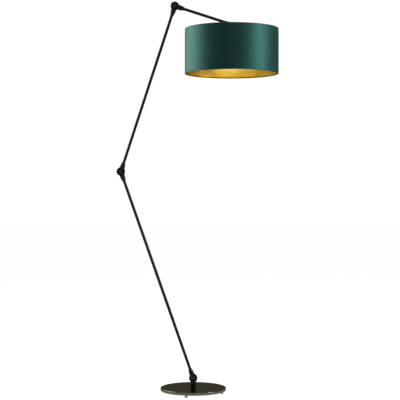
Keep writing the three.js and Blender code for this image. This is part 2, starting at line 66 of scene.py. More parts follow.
def rounded(corners, reach, steps=5):
    """A profile with soft corners: each corner becomes the quadratic curve that leaves its side at
    the given reach before the corner and joins the next side at the same reach after it."""
    corners = np.asarray(corners, float)
    loop = np.allclose(corners[0], corners[-1])
    ring = corners[:-1] if loop else corners
    back, forth = np.roll(ring, 1, axis=0) - ring, np.roll(ring, -1, axis=0) - ring
    long_back = np.linalg.norm(back, axis=1, keepdims=True)
    long_forth = np.linalg.norm(forth, axis=1, keepdims=True)
    reach = np.minimum(reach, 0.45 * np.minimum(long_back, long_forth))
    first, last = ring + back / long_back * reach, ring + forth / long_forth * reach
    t = np.linspace(0, 1, steps)[None, :, None]
    curves = (1 - t) ** 2 * first[:, None] + 2 * t * (1 - t) * ring[:, None] + t**2 * last[:, None]
    if loop:
        points = curves.reshape(-1, 2)
        return np.concatenate([points, points[:1]])
    return np.concatenate([corners[:1], curves[1:-1].reshape(-1, 2), corners[-1:]])


def divided(profile, longest):
    """The same profile with points added, so that no step along it is longer than the longest."""
    steps = np.linalg.norm(np.diff(profile, axis=0), axis=1)
    parts = np.maximum(1, np.ceil(steps / longest)).astype(int)
    stations = np.concatenate([i + np.arange(n) / n for i, n in enumerate(parts)] + [[len(parts)]])
    return np.stack([np.interp(stations, np.arange(len(profile)), profile[:, k]) for k in (0, 1)], axis=1)


def unit(vector):
    """The same direction with a length of one."""
    return np.asarray(vector, float) / np.linalg.norm(vector)


def sides_of(along):
    """Two directions square to the given one and to each other. The second is Y where it can be."""
    along = unit(along)
    first = np.cross((0, 1, 0), along) if abs(along[1]) < 0.9 else np.array((1.0, 0, 0))
    return unit(first), unit(np.cross(along, first))


def turned(profile, centre, along=UP, columns=96, ripple=None, angles=None):
    """A profile of [radius, height] points in mm turned about an axis: each point goes round a
    circle of its radius, at its height along the axis. The ripple, a function of angle, height and
    radius, is added to the radius. Less than a full turn gets its two ends closed."""
    profile = np.asarray(profile, float)
    full = angles is None
    angle = (np.linspace(0, 2 * np.pi, columns + 1) if full else np.asarray(angles))[None, :]
    radius, height = profile[:, :1] + 0 * angle, profile[:, 1:] + 0 * angle
    if ripple is not None:
        radius = np.where(radius > 0, radius + ripple(angle, height, radius), 0)
    first, second = sides_of(along)
    out = np.cos(angle)[..., None] * first + np.sin(angle)[..., None] * second
    grid = np.asarray(centre) + MM * (radius[..., None] * out + height[..., None] * unit(along))
    if not np.allclose(grid[:, 0], grid[:, -1]):
        ends = [np.broadcast_to(grid[:, k].mean(axis=0), grid[:, k].shape)[:, None] for k in (0, -1)]
        grid = np.concatenate([ends[0], grid, ends[1]], axis=1)
    return grid


CREASE = 38  # degrees, past which an edge stays crisp


def made(name, *grids, crease=CREASE):
    """One object from closed grids of points, in the lamp's frame. Each cell of a grid is a four-sided
    face, wound so that the volume inside is positive. The map holds the distance along the columns
    and down the rows, in metres. Doubled points at seams and poles are merged."""
    points, faces, places, start = [], [], [], 0
    for grid in grids:
        rows, columns = grid.shape[:2]
        number = np.arange(rows * columns).reshape(rows, columns)
        corner = np.stack([number[:-1, :-1], number[:-1, 1:], number[1:, 1:], number[1:, :-1]], axis=-1)
        corner = corner.reshape(-1, 4)
        flat = grid.reshape(-1, 3)
        a, b, c, d = (flat[corner[:, k]] - flat[0] for k in range(4))
        volume = (a * (np.cross(b, c) + np.cross(c, d))).sum()
        if volume < 0:
            corner = corner[:, ::-1]
        down = np.linalg.norm(np.diff(grid, axis=0), axis=2).mean(axis=1).cumsum()
        across = np.linalg.norm(np.diff(grid, axis=1), axis=2).max(axis=0).cumsum()
        u, v = np.meshgrid(np.append(0, across), np.append(0, down))
        points.append(flat)
        faces.append(corner + start)
        places.append(np.stack([u, v], axis=-1).reshape(-1, 2))
        start += rows * columns
    faces, places = np.concatenate(faces), np.concatenate(places)
    mesh = bpy.data.meshes.new(name)
    mesh.from_pydata(np.concatenate(points).tolist(), [], faces.tolist())
    surface_map = mesh.uv_layers.new(name="Surface")
    surface_map.data.foreach_set("uv", places[faces.ravel()].astype(np.float32).ravel())
    thing = bpy.data.objects.new(name, mesh)
    bpy.context.scene.collection.objects.link(thing)
    tidy(thing, crease)
    return thing


def tidy(thing, crease):
    """Merges doubled points, shades the faces smooth and keeps edges sharper than the crease crisp."""
    shape = bmesh.new()
    shape.from_mesh(thing.data)
    bmesh.ops.remove_doubles(shape, verts=shape.verts, dist=1e-6)
    bmesh.ops.dissolve_degenerate(shape, edges=shape.edges, dist=1e-7)
    shape.to_mesh(thing.data)
    shape.free()
    thing.data.polygons.foreach_set("use_smooth", np.ones(len(thing.data.polygons), bool))
    thing.data.set_sharp_from_angle(angle=math.radians(crease))


def node(tree, kind, inputs=None, **settings):
    """A shader node with its settings and its inputs, which are values or other nodes' outputs."""
    new = tree.nodes.new(kind if kind.startswith("Node") else "ShaderNode" + kind)
    for key, value in settings.items():
        setattr(new, key, value)
    for key, value in (inputs or {}).items():
        if isinstance(value, bpy.types.NodeSocket):
            tree.links.new(value, new.inputs[key])
        else:
            new.inputs[key].default_value = value
    return new


def maths(tree, operation, *values, clamp=False):
    """The result of a maths node, whose values are numbers or sockets."""
    return node(tree, "Math", dict(enumerate(values)), operation=operation, use_clamp=clamp).outputs[0]


def spread(tree, value, low, high, start=0.0, stop=1.0):
    """Goes evenly from low to high while the value goes from start to stop, and no further."""
    ends = {"Value": value, "From Min": start, "From Max": stop, "To Min": low, "To Max": high}
    return node(tree, "MapRange", ends).outputs["Result"]


def tint(tree, share, first, second):
    """The first colour with the second laid over it by the share."""
    mix = node(tree, "Mix", {0: share, 6: first, 7: second}, data_type="RGBA", clamp_factor=True)
    return mix.outputs[2]


def noise(tree, place, often, detail=2):
    """Cloudy noise from 0 to 1, with the given number of clouds to a metre."""
    return node(tree, "TexNoise", {"Vector": place, "Scale": often, "Detail": detail}).outputs["Fac"]


def effect(name, inputs, outputs):
    """An empty node group with named inputs and outputs, and the sockets that hold them inside it."""
    tree = bpy.data.node_groups.new(name, "ShaderNodeTree")
    for label, kind in inputs.items():
        tree.interface.new_socket(label, in_out="INPUT", socket_type="NodeSocket" + kind)
    for label in outputs:
        tree.interface.new_socket(label, in_out="OUTPUT", socket_type="NodeSocketFloat")
    return tree, tree.nodes.new("NodeGroupInput").outputs, tree.nodes.new("NodeGroupOutput").inputs


def feed(tree, sockets, **sources):
    """Joins each output to the socket of its name, in which an underscore stands for a space."""
    for label, source in sources.items():
        tree.links.new(source, sockets[label.replace("_", " ")])


# A baked or moulded skin: slow clouds in its gloss and a fine grain in its height.
skin_grain, into, out_of = effect("Skin grain", {"Place": "Vector", "Size": "Float"}, ["Cloud", "Height"])
fine = maths(skin_grain, "DIVIDE", 1.0, into["Size"])
cloud = noise(skin_grain, into["Place"], maths(skin_grain, "MULTIPLY", fine, 0.02), 4)
feed(skin_grain, out_of, Cloud=cloud, Height=noise(skin_grain, into["Place"], fine, 1.5))

# Hairline rubs left by hands and cloths: thin lines where a stretched noise passes its middle.
hand_rubs, into, out_of = effect("Hand rubs", {"Place": "Vector", "Length": "Float"}, ["Rubs"])
lean = node(hand_rubs, "Mapping", {0: into["Place"], "Rotation": (0.6, 0.9, 0.4), "Scale": (1, 7, 7)})
often = maths(hand_rubs, "DIVIDE", 1.0, into["Length"])
off_middle = maths(hand_rubs, "SUBTRACT", noise(hand_rubs, lean.outputs[0], often, 1), 0.5)
line = spread(hand_rubs, maths(hand_rubs, "ABSOLUTE", off_middle), 1, 0, stop=0.006)
there = spread(hand_rubs, noise(hand_rubs, into["Place"], often, 0), 0, 1, 0.52, 0.7)
feed(hand_rubs, out_of, Rubs=maths(hand_rubs, "MULTIPLY", line, there))

# Dust that settles on faces that look up, thicker in some places.
settled_dust, into, out_of = effect("Settled dust", {"Place": "Vector", "Amount": "Float"}, ["Dust"])
facing = node(settled_dust, "SeparateXYZ", {0: node(settled_dust, "NewGeometry").outputs["Normal"]})
upward = spread(settled_dust, facing.outputs["Z"], 0, 1, 0.35, 1)
specks, drifts = noise(settled_dust, into["Place"], 700), noise(settled_dust, into["Place"], 14, 4)
lying = maths(settled_dust, "MULTIPLY", maths(settled_dust, "MULTIPLY", specks, drifts), upward)
feed(settled_dust, out_of, Dust=maths(settled_dust, "MULTIPLY", lying, into["Amount"], clamp=True))

# Coat rubbed thin on outer edges, where the surface turns away on both sides.
worn_edges, into, out_of = effect("Worn edges", {"Place": "Vector", "Amount": "Float"}, ["Wear"])
edge = spread(worn_edges, node(worn_edges, "NewGeometry").outputs["Pointiness"], 0, 1, 0.53, 0.62)
broken = spread(worn_edges, noise(worn_edges, into["Place"], 320, 3), 0, 1, 0.42, 0.6)
wear = maths(worn_edges, "MULTIPLY", edge, broken)
feed(worn_edges, out_of, Wear=maths(worn_edges, "MULTIPLY", wear, into["Amount"], clamp=True))

DUST_COLOUR = (0.30, 0.28, 0.25, 1)
RUB_ROUGHENS, DUST_ROUGHENS = 0.18, 0.5


def bare(name, **values):
    """A new material: its node tree, its shader's sockets with plain values set, and Object coordinates."""
    material = bpy.data.materials.new(name)
    material.use_nodes = True
    tree = material.node_tree
    skin = tree.nodes["Principled BSDF"].inputs
    for label, value in values.items():
        skin[label.replace("_", " ")].default_value = value
    return material, tree, skin, node(tree, "TexCoord").outputs["Object"]


def raised(tree, skin, height, depth, under=None):
    """Bump from a height that runs from 0 to 1 over the given depth in metres."""
    inputs = {"Height": height, "Distance": depth, "Strength": 1.0}
    if under is not None:
        inputs["Normal"] = under
    normal = node(tree, "Bump", inputs).outputs["Normal"]
    feed(tree, skin, Normal=normal)
    return normal


def skinned(name, colour, pale, rough, grain, relief, dust, worn, worn_colour, rub_length=0.05, **values):
    """A painted or moulded finish. Its colour drifts between two shades, its gloss between two
    roughnesses, and grain, rubs, dust and worn edges come from the shared groups."""
    material, tree, skin, place = bare(name, **values)
    groups = [(skin_grain, "Size", grain), (hand_rubs, "Length", rub_length)]
    groups += [(settled_dust, "Amount", dust), (worn_edges, "Amount", worn)]
    grained, rubbed, dusty, thin = (
        node(tree, "Group", {"Place": place, label: value}, node_tree=group).outputs
        for group, label, value in groups
    )
    shade = tint(tree, thin["Wear"], tint(tree, grained["Cloud"], colour, pale), worn_colour)
    gloss = spread(tree, grained["Cloud"], *rough)
    gloss = maths(tree, "ADD", gloss, maths(tree, "MULTIPLY", rubbed["Rubs"], RUB_ROUGHENS))
    gloss = maths(tree, "ADD", gloss, maths(tree, "MULTIPLY", dusty["Dust"], DUST_ROUGHENS), clamp=True)
    feed(tree, skin, Base_Color=tint(tree, dusty["Dust"], shade, DUST_COLOUR), Roughness=gloss)
    raised(tree, skin, grained["Height"], relief)
    return material


black_nickel = skinned(
    "Black nickel",
    colour=(0.20, 0.197, 0.185, 1),
    pale=(0.25, 0.246, 0.232, 1),
    rough=(0.03, 0.07),
    grain=0.004,
    relief=0.000006,
    dust=0.04,
    worn=0.4,
    worn_colour=(0.34, 0.33, 0.30, 1),
    Metallic=1.0,
    Specular_Tint=(1.0, 0.95, 0.62, 1),
)

cover_low, cover_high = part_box("base_cover")
BASE = np.array([(cover_low.x + cover_high.x) / 2, 0, 0])
COVER_BOTTOM, COVER_TOP = cover_low.z / MM, cover_high.z / MM
COVER_RADIUS = (cover_high.x - cover_low.x) / 2 / MM
COVER_SHEET, COVER_SHOULDER, COVER_LIP = 1.5, 2.5, 6.0
CABLE_LEVEL, GLAND_HOLE = 20.0, 4.6


def cut_away(thing, *grids):
    """The object less the closed shapes of the grids. The cut is applied to its mesh."""
    tool = made(thing.name + "_cutter", *grids)
    cut = thing.modifiers.new("Cut", "BOOLEAN")
    cut.operation, cut.solver, cut.object = "DIFFERENCE", "EXACT", tool
    seen = thing.evaluated_get(bpy.context.evaluated_depsgraph_get())
    mesh = bpy.data.meshes.new_from_object(seen)
    thing.modifiers.clear()
    thing.data = mesh
    bpy.data.objects.remove(tool)
    tidy(thing, CREASE)


def plug(radius, low, high):
    """The outline of a solid cylinder between two heights."""
    return [[0, low], [radius, low], [radius, high], [0, high]]


def dress(thing, material, body, cad_name):
    """Gives a piece its material, the body that it rides on and the CAD node it stands for."""
    thing.data.materials.append(material)
    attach(thing, body)
    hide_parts(cad_name)


lip_end, wall_inside = COVER_RADIUS - COVER_LIP, COVER_RADIUS - COVER_SHEET
bottom_inside = COVER_BOTTOM + COVER_SHEET
shoulder_middle = (COVER_RADIUS - COVER_SHOULDER, COVER_TOP - COVER_SHOULDER)
shoulder_inside = COVER_SHOULDER - COVER_SHEET
cover_parts = [
    [[lip_end, bottom_inside], [lip_end, COVER_BOTTOM]],
    bow((wall_inside, bottom_inside), (COVER_SHEET, COVER_SHEET), -90, 0, 10),
    bow(shoulder_middle, (COVER_SHOULDER, COVER_SHOULDER), 0, 90, 18),
    [[BORE_EDGE, COVER_TOP], [BORE, COVER_TOP - 0.5], [BORE, COVER_TOP - COVER_SHEET]],
    bow(shoulder_middle, (shoulder_inside, shoulder_inside), 90, 0, 10),
    [[wall_inside, bottom_inside], [lip_end, bottom_inside]],
]
cover = made("pressed_cover", turned(divided(np.concatenate(cover_parts), 12), BASE, columns=256))
gland_place = BASE + (0, 0, CABLE_LEVEL * MM)
cut_away(cover, turned(plug(GLAND_HOLE, lip_end - 1, COVER_RADIUS + 4), gland_place, (0, 1, 0), 40))
dress(cover, black_nickel, "base", "base_cover")

# -------- cast weight
# An iron casting as wide as the cover's inside gives the lamp its footing. The sand mould leaves a
# coarse grey skin. A recess takes the nut, a groove the cable, and four blind holes the glides' pegs.


def levels(cad_name):
    """The lowest and the highest level of a CAD node, in mm."""
    return (corner.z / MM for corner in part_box(cad_name))


def floor_point(cad_name):
    """The point of the floor under a CAD node's middle."""
    low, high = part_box(cad_name)
    return np.array([(low.x + high.x) / 2, (low.y + high.y) / 2, 0])


GAP = 0.3  # the room left between neighbours
WEIGHT_LOW, WEIGHT_HIGH = levels("base_weight")
WEIGHT_RADIUS, RECESS_RADIUS = 172, 20
RECESS_TOP = WEIGHT_HIGH - 4.2
PEG_HOLE, PEG_DEPTH = 2.8, 7
GROOVE_HALF, GROOVE_TOP = 4, 23.3

glide_places = {name: floor_point(name) for name in (f"base_foot_{i}" for i in range(1, 5))}
weight_corners = [
    (BORE, RECESS_TOP),
    (RECESS_RADIUS, RECESS_TOP),
    (RECESS_RADIUS + 0.6, WEIGHT_LOW),
    (WEIGHT_RADIUS - 0.8, WEIGHT_LOW),
    (WEIGHT_RADIUS, WEIGHT_HIGH),
    (BORE, WEIGHT_HIGH),
    (BORE, RECESS_TOP),
]


def slab(low, high):
    """A block between two corners in mm from the base's centre, as a ring of four columns."""
    x, y, z = zip(low, high)
    square = np.array([(x[0], y[0]), (x[1], y[0]), (x[1], y[1]), (x[0], y[1]), (x[0], y[0])])
    middle = np.broadcast_to(square[:-1].mean(axis=0), square.shape)
    rings = [(middle, z[0]), (square, z[0]), (square, z[1]), (middle, z[1])]
    return BASE + MM * np.array([np.column_stack([ring, np.full(len(ring), h)]) for ring, h in rings])


weight = made("cast_weight", turned(divided(rounded(weight_corners, 1.2), 15), BASE, columns=128))
peg_hole = plug(PEG_HOLE, WEIGHT_LOW - 2, WEIGHT_LOW + PEG_DEPTH)
cut_away(weight, *[turned(peg_hole, at, columns=24) for at in glide_places.values()])
groove_start = (-GROOVE_HALF, RECESS_RADIUS - 3, WEIGHT_LOW - 3)
cut_away(weight, slab(groove_start, (GROOVE_HALF, WEIGHT_RADIUS + 3, GROOVE_TOP)))
seat_start = (-GLAND_HOLE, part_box("cable_gland")[0].y / MM - GAP, WEIGHT_LOW - 4)
cut_away(weight, slab(seat_start, (GLAND_HOLE, WEIGHT_RADIUS + 4, CABLE_LEVEL + GLAND_HOLE)))

cast_iron, tree, skin, place = bare("Cast iron", Metallic=0.6)
sand, lumps = noise(tree, place, 1 / 0.0011, 3), noise(tree, place, 1 / 0.009, 4)
rust = spread(tree, noise(tree, place, 1 / 0.03, 6), 0, 1, 0.55, 0.72)
iron_grey = tint(tree, lumps, (0.022, 0.022, 0.023, 1), (0.055, 0.054, 0.053, 1))
iron_colour = tint(tree, rust, iron_grey, (0.075, 0.030, 0.014, 1))
feed(tree, skin, Base_Color=iron_colour, Roughness=spread(tree, sand, 0.55, 0.85))
raised(tree, skin, sand, 0.00025, under=raised(tree, skin, lumps, 0.0005))
dress(weight, cast_iron, "base", "base_weight")

# -------- clear glides
# Four short cylinders of clear acrylic lift the base off the floor. Each is injection moulded, with a
# peg that presses into the casting and a sole that is a little crowned so that it slides.

GLIDE_RADIUS, GLIDE_PEG = 7.25, 2.5

glide_acrylic, tree, skin, place = bare("Clear acrylic", IOR=1.49, Transmission_Weight=1.0)
flow = noise(tree, place, 1 / 0.006)
scuff = spread(tree, noise(tree, place, 1 / 0.0012, 5), 0, 1, 0.5, 0.75)
feed(
    tree,
    skin,
    Base_Color=tint(tree, flow, (0.90, 0.93, 0.93, 1), (0.97, 0.98, 0.98, 1)),
    Roughness=spread(tree, scuff, 0.03, 0.28),
)
raised(tree, skin, flow, 0.00008)

for number, (name, at) in enumerate(glide_places.items(), 1):
    low, high = levels(name)
    shoulder = high - PEG_DEPTH
    sole = [(0, low), (0.6 * GLIDE_RADIUS, low + 0.02), (GLIDE_RADIUS - 0.5, low + 0.25)]
    side = [(GLIDE_RADIUS, low + 1.1), (GLIDE_RADIUS, shoulder)]
    peg = [(GLIDE_PEG, shoulder), (GLIDE_PEG, high), (0, high)]
    outline = divided(rounded(sole + side + peg, 0.5, 6), 2)
    glide = made(f"clear_glide_{number}", turned(outline, at, columns=56))
    dress(glide, glide_acrylic, "base", name)

# -------- threaded tube, washer and nut
# A threaded steel tube ties the base joint to the base. A plain washer and a hexagon nut pull it down
# inside the casting's recess. All three are zinc plated: bluish, with faint turning lines.

turning_lines, into, out_of = effect("Turning lines", {"Along": "Float", "Pitch": "Float"}, ["Height"])
station = maths(turning_lines, "DIVIDE", into["Along"], into["Pitch"])
grooves = node(turning_lines, "TexNoise", {"W": station, "Scale": 1, "Detail": 3}, noise_dimensions="1D")
feed(turning_lines, out_of, Height=grooves.outputs["Fac"])


def metal(name, colour, second, rough, pitch):
    """A turned metal part: lines that follow the tool, and a plating that drifts between two shades."""
    material, tree, skin, place = bare(name, Metallic=1.0)
    lie = node(tree, "SeparateXYZ", {0: node(tree, "TexCoord").outputs["UV"]}).outputs["Y"]
    lines = node(tree, "Group", {"Along": lie, "Pitch": pitch}, node_tree=turning_lines).outputs[0]
    stain = noise(tree, place, 1 / 0.007, 4)
    gloss = maths(tree, "ADD", spread(tree, stain, *rough), spread(tree, lines, 0, 0.12))
    feed(tree, skin, Base_Color=tint(tree, stain, colour, second), Roughness=gloss)
    raised(tree, skin, lines, 0.00002)
    return material


def scored(depth, inner, low, high, pattern):
    """Grooves as a ripple: the depth times a pattern of angle and height, taken from radii above the
    inner one and between two heights."""

    def ripple(angle, height, radius):
        """The pattern's depth, or nothing outside its radii and heights."""
        on = (radius > inner) & (height > low) & (height < high)
        return np.where(on, -depth * pattern(angle, height), 0)

    return ripple


def thread(pitch, depth, inner, low=-1e9, high=1e9):
    """A screw thread as a ripple: a rounded saw that runs once round for each pitch of height."""

    def saw(angle, height):
        """Falls from 1 to 0 and rises again over one pitch, flat at both ends."""
        phase = height / pitch - angle / (2 * np.pi)
        return 1 - np.clip(1.6 * (1 - np.abs(2 * (phase - np.floor(phase)) - 1)) - 0.3, 0, 1)

    return scored(depth, inner, low, high, saw)


def ring_section(inner, outer, low, high):
    """The closed outline of a plain ring, between two radii and two heights."""
    return [(inner, low), (outer, low), (outer, high), (inner, high), (inner, low)]


zinc = metal("Zinc plate", (0.42, 0.44, 0.47, 1), (0.58, 0.58, 0.57, 1), (0.26, 0.42), 0.00025)
NIPPLE_RADIUS, NIPPLE_BORE = 5, 3.8
WASHER_RADIUS = 14
NUT_CORNER, NUT_FACE = 9.8, 0.86


def threaded_tube(name, cad_name, body, at):
    """A short tube whose outside carries a thread, at the place of a CAD node."""
    profile = divided(rounded(ring_section(NIPPLE_BORE, NIPPLE_RADIUS, *levels(cad_name)), 0.35), 0.25)
    tube = made(name, turned(profile, at, columns=40, ripple=thread(1.0, 0.45, 4.6)), crease=70)
    dress(tube, zinc, body, cad_name)


threaded_tube("base_threaded_tube", "base_nipple", "base", BASE)

section = rounded(ring_section(BORE, WASHER_RADIUS, *levels("base_washer")), 0.25)
washer = made("base_plain_washer", turned(section, BASE, columns=80))
dress(washer, zinc, "base", "base_washer")


def hexagon(angle):
    """The radius of a hexagon as a share of its corner's, by the angle from a corner."""
    return math.cos(math.pi / 6) / np.cos((angle % (math.pi / 3)) - math.pi / 6)


def nut_flats(angle, height, radius):
    """What a hexagon takes off a round blank: its radius less the blank's, where that is below 0."""
    return np.minimum(0, NUT_CORNER * hexagon(angle) - radius)


nut_low, nut_high = levels("base_nut")
nut_angles = np.unique(np.concatenate([np.linspace(0, 2 * np.pi, 121), np.radians(np.arange(0, 361, 60))]))
nut_corners = [
    (BORE, nut_low),
    (NUT_FACE * NUT_CORNER, nut_low),
    (NUT_CORNER, nut_low + 0.8),
    (NUT_CORNER, nut_high - 0.8),
    (NUT_FACE * NUT_CORNER, nut_high),
    (BORE, nut_high),
    (BORE, nut_low),
]
nut_grid = turned(divided(rounded(nut_corners, 0.3), 1), BASE, angles=nut_angles, ripple=nut_flats)
dress(made("hexagon_nut", nut_grid), zinc, "base", "base_nut")

# -------- cable gland and base cable
# A moulded rubber bush in the back edge holds the cable against pulling. From it the cable runs
# through a groove in the casting, bends up under the nut and rises through the threaded tube.

soft_rubber = skinned(
    "Black rubber",
    colour=(0.010, 0.010, 0.011, 1),
    pale=(0.016, 0.016, 0.017, 1),
    rough=(0.55, 0.72),
    grain=0.0007,
    relief=0.00006,
    dust=0.5,
    worn=0.2,
    worn_colour=(0.04, 0.04, 0.04, 1),
)

GLAND_START, GLAND_END = (corner.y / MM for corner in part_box("cable_gland"))
GLAND_RADIUS, FLANGE_RADIUS, CABLE_BORE = 4.3, 6.2, 3.3
flange = COVER_RADIUS + GAP
gland_corners = [
    (CABLE_BORE, GLAND_START),
    (GLAND_RADIUS, GLAND_START),
    (GLAND_RADIUS, flange),
    (FLANGE_RADIUS, flange),
    (FLANGE_RADIUS, flange + 2),
    (GLAND_RADIUS, flange + 2.4),
    (0.88 * GLAND_RADIUS, GLAND_END),
    (CABLE_BORE, GLAND_END),
    (CABLE_BORE, GLAND_START),
]
ribs = scored(0.35, 3.6, flange + 2.6, GLAND_END - 0.3, lambda angle, height: height % 1.3 > 0.75)
gland_grid = turned(divided(rounded(gland_corners, 0.3), 0.3), gland_place, (0, 1, 0), 56, ribs)
gland = made("strain_relief_bush", gland_grid, crease=60)
dress(gland, soft_rubber, "base", "cable_gland")


def route(places, steps):
    """A smooth line through places in mm: between two of them it is a cubic whose slopes are half
    the step from the place before to the place after."""
    places = np.asarray(places, float)
    around = np.concatenate([2 * places[:1] - places[1:2], places, 2 * places[-1:] - places[-2:-1]])
    slopes = (around[2:] - around[:-2]) / 2
    t = np.linspace(0, len(places) - 1, steps)
    leg = np.minimum(t.astype(int), len(places) - 2)
    s = (t - leg)[:, None]
    here, there = places[leg], places[leg + 1]
    return (
        (2 * s**3 - 3 * s**2 + 1) * here
        + (s**3 - 2 * s**2 + s) * slopes[leg]
        + (3 * s**2 - 2 * s**3) * there
        + (s**3 - s**2) * slopes[leg + 1]
    )


NOSE = 0.6


def swept(line, radius, aside, columns):
    """A circle of a radius in mm carried along a line in mm: its plane is square to the line, and one
    of its diameters stays square to the direction aside. Both ends close in a rounded nose."""
    tangent = np.gradient(line, axis=0)
    tangent /= np.linalg.norm(tangent, axis=1, keepdims=True)
    across = np.cross(tangent, aside)
    across /= np.linalg.norm(across, axis=1, keepdims=True)
    upward = np.cross(across, tangent)
    turn = np.radians(np.linspace(0, 90, 6))[:, None]
    first = line[0] - NOSE * np.cos(turn) * tangent[0]
    last = line[-1] + NOSE * np.cos(turn[::-1]) * tangent[-1]
    spine = np.concatenate([first[:-1], line, last[1:]])
    size = radius * np.concatenate([np.sin(turn[:-1]), np.ones((len(line), 1)), np.sin(turn[::-1][1:])])
    ends = ((5, 5), (0, 0))
    angle = np.linspace(0, 2 * np.pi, columns + 1)[None, :, None]
    out = np.cos(angle) * np.pad(across, ends, "edge")[:, None]
    out = out + np.sin(angle) * np.pad(upward, ends, "edge")[:, None]
    return spine[:, None] + size[:, None] * out


cable_places = [
    (0, 0, COVER_TOP + 14),
    (0, 0, COVER_TOP),
    (0, 0, WEIGHT_LOW - 1),
    (0, 7, 8),
    (0, 20, 11),
    (0, 32, CABLE_LEVEL - 1),
    (0, 48, CABLE_LEVEL),
    (0, 100, CABLE_LEVEL),
    (0, GLAND_START - 2, CABLE_LEVEL),
]
CABLE_RADIUS = 2.6
cable = made("base_cable_run", BASE + MM * swept(route(cable_places, 150), CABLE_RADIUS, (1, 0, 0), 28))
cable_jacket, tree, skin, place = bare("Cable jacket", Sheen_Weight=0.1)
speckle, drift = noise(tree, place, 1 / 0.0009, 3), noise(tree, place, 1 / 0.02, 3)
jacket_colour = tint(tree, drift, (0.010, 0.010, 0.010, 1), (0.021, 0.020, 0.019, 1))
feed(tree, skin, Base_Color=jacket_colour, Roughness=spread(tree, speckle, 0.38, 0.60))
raised(tree, skin, speckle, 0.00004)
dress(cable, cable_jacket, "base", "base_cable")

# -------- knuckle halves
# Each hinge is a pair of zinc castings lapped like two hands. A half is a disc with a neck that
# blends out of its rim and tapers like a bullet to the tube. Both have a satin black powder coat.

satin_black = skinned(
    "Satin black powder coat",
    colour=(0.0030, 0.0030, 0.0031, 1),
    pale=(0.0048, 0.0048, 0.0050, 1),
    rough=(0.26, 0.36),
    grain=0.0006,
    relief=0.000022,
    dust=0.22,
    worn=0.35,
    worn_colour=(0.06, 0.06, 0.062, 1),
    rub_length=0.03,
    Specular_IOR_Level=0.5,
)

# In mm: the disc's radius, the neck's where it leaves the disc, the distance from the hinge to its end,
# and the radii and heights of what clamps the halves together.
MEASURES = ("disc", "neck", "length", "bolt", "head", "head_height", "washer", "knob", "knob_height")
LARGE = dict(zip(MEASURES, (22.5, 14.2, 53.5, 4.0, 9.0, 3.6, 8.6, 13.0, 8.5)))
SMALL = dict(zip(MEASURES, (13.0, 9.5, 40.0, 2.5, 5.0, 2.6, 5.6, 8.0, 7.0)))
NECK_END, INNER_FACE, LAP = 8.4, 0.9, 1.0
SPIGOT, SPIGOT_LENGTH, SPIGOT_BREAK = 6.7, 14, 0.6

pivots = {joint["name"]: np.array(joint["pos_m"]) for joint in frame["joints"]}
BASE_PIVOT, ELBOW, SHOULDER, HEAD = (
    pivots[name + "_pivot"] for name in ("base_joint", "elbow", "shoulder", "head")
)
LOWER_ARM, UPPER_ARM, BOOM = unit(ELBOW - BASE_PIVOT), unit(SHOULDER - ELBOW), unit(HEAD - SHOULDER)
DOWN = np.array((0, 0, -1.0))


def neck_radius(w, size, length, straight):
    """The neck's radius at a distance w from the hinge: constant, or a quadratic curve that leaves
    the disc's rim nearly parallel and reaches the tube's own radius at its end."""
    if straight:
        return np.full_like(w, size["neck"])
    t = np.linspace(0, 1, 60)
    start, far = size["disc"] + LAP, size["disc"] + 0.53 * (length - size["disc"])
    w_of_t = (1 - t) ** 2 * start + 2 * t * (1 - t) * far + t**2 * length
    r_of_t = (1 - t) ** 2 * size["neck"] + 2 * t * (1 - t) * (size["neck"] - 0.4) + t**2 * NECK_END
    return np.interp(w, w_of_t, r_of_t)


def outside_half(x, y, w, size, length, straight):
    """How far a point lies outside a knuckle half, less than 0 inside: the nearer of a round-edged
    disc about Y and a neck about W, melted together, less the slot that the other half fills."""
    edge, melt = 1.5, 3.0
    half = (size["neck"] - INNER_FACE) / 2
    a = np.hypot(x, w) - size["disc"] + edge
    b = np.abs(y - INNER_FACE - half) - half + edge
    disc = np.minimum(np.maximum(a, b), 0) + np.hypot(np.maximum(a, 0), np.maximum(b, 0)) - edge
    neck = np.maximum(np.hypot(x, y) - neck_radius(w, size, length, straight), 0.68 * size["disc"] - w)
    share = np.clip(0.5 + 0.5 * (neck - disc) / melt, 0, 1)
    whole = neck * (1 - share) + disc * share - melt * share * (1 - share)
    return np.maximum(whole, np.minimum(INNER_FACE - y, size["disc"] + LAP - w))


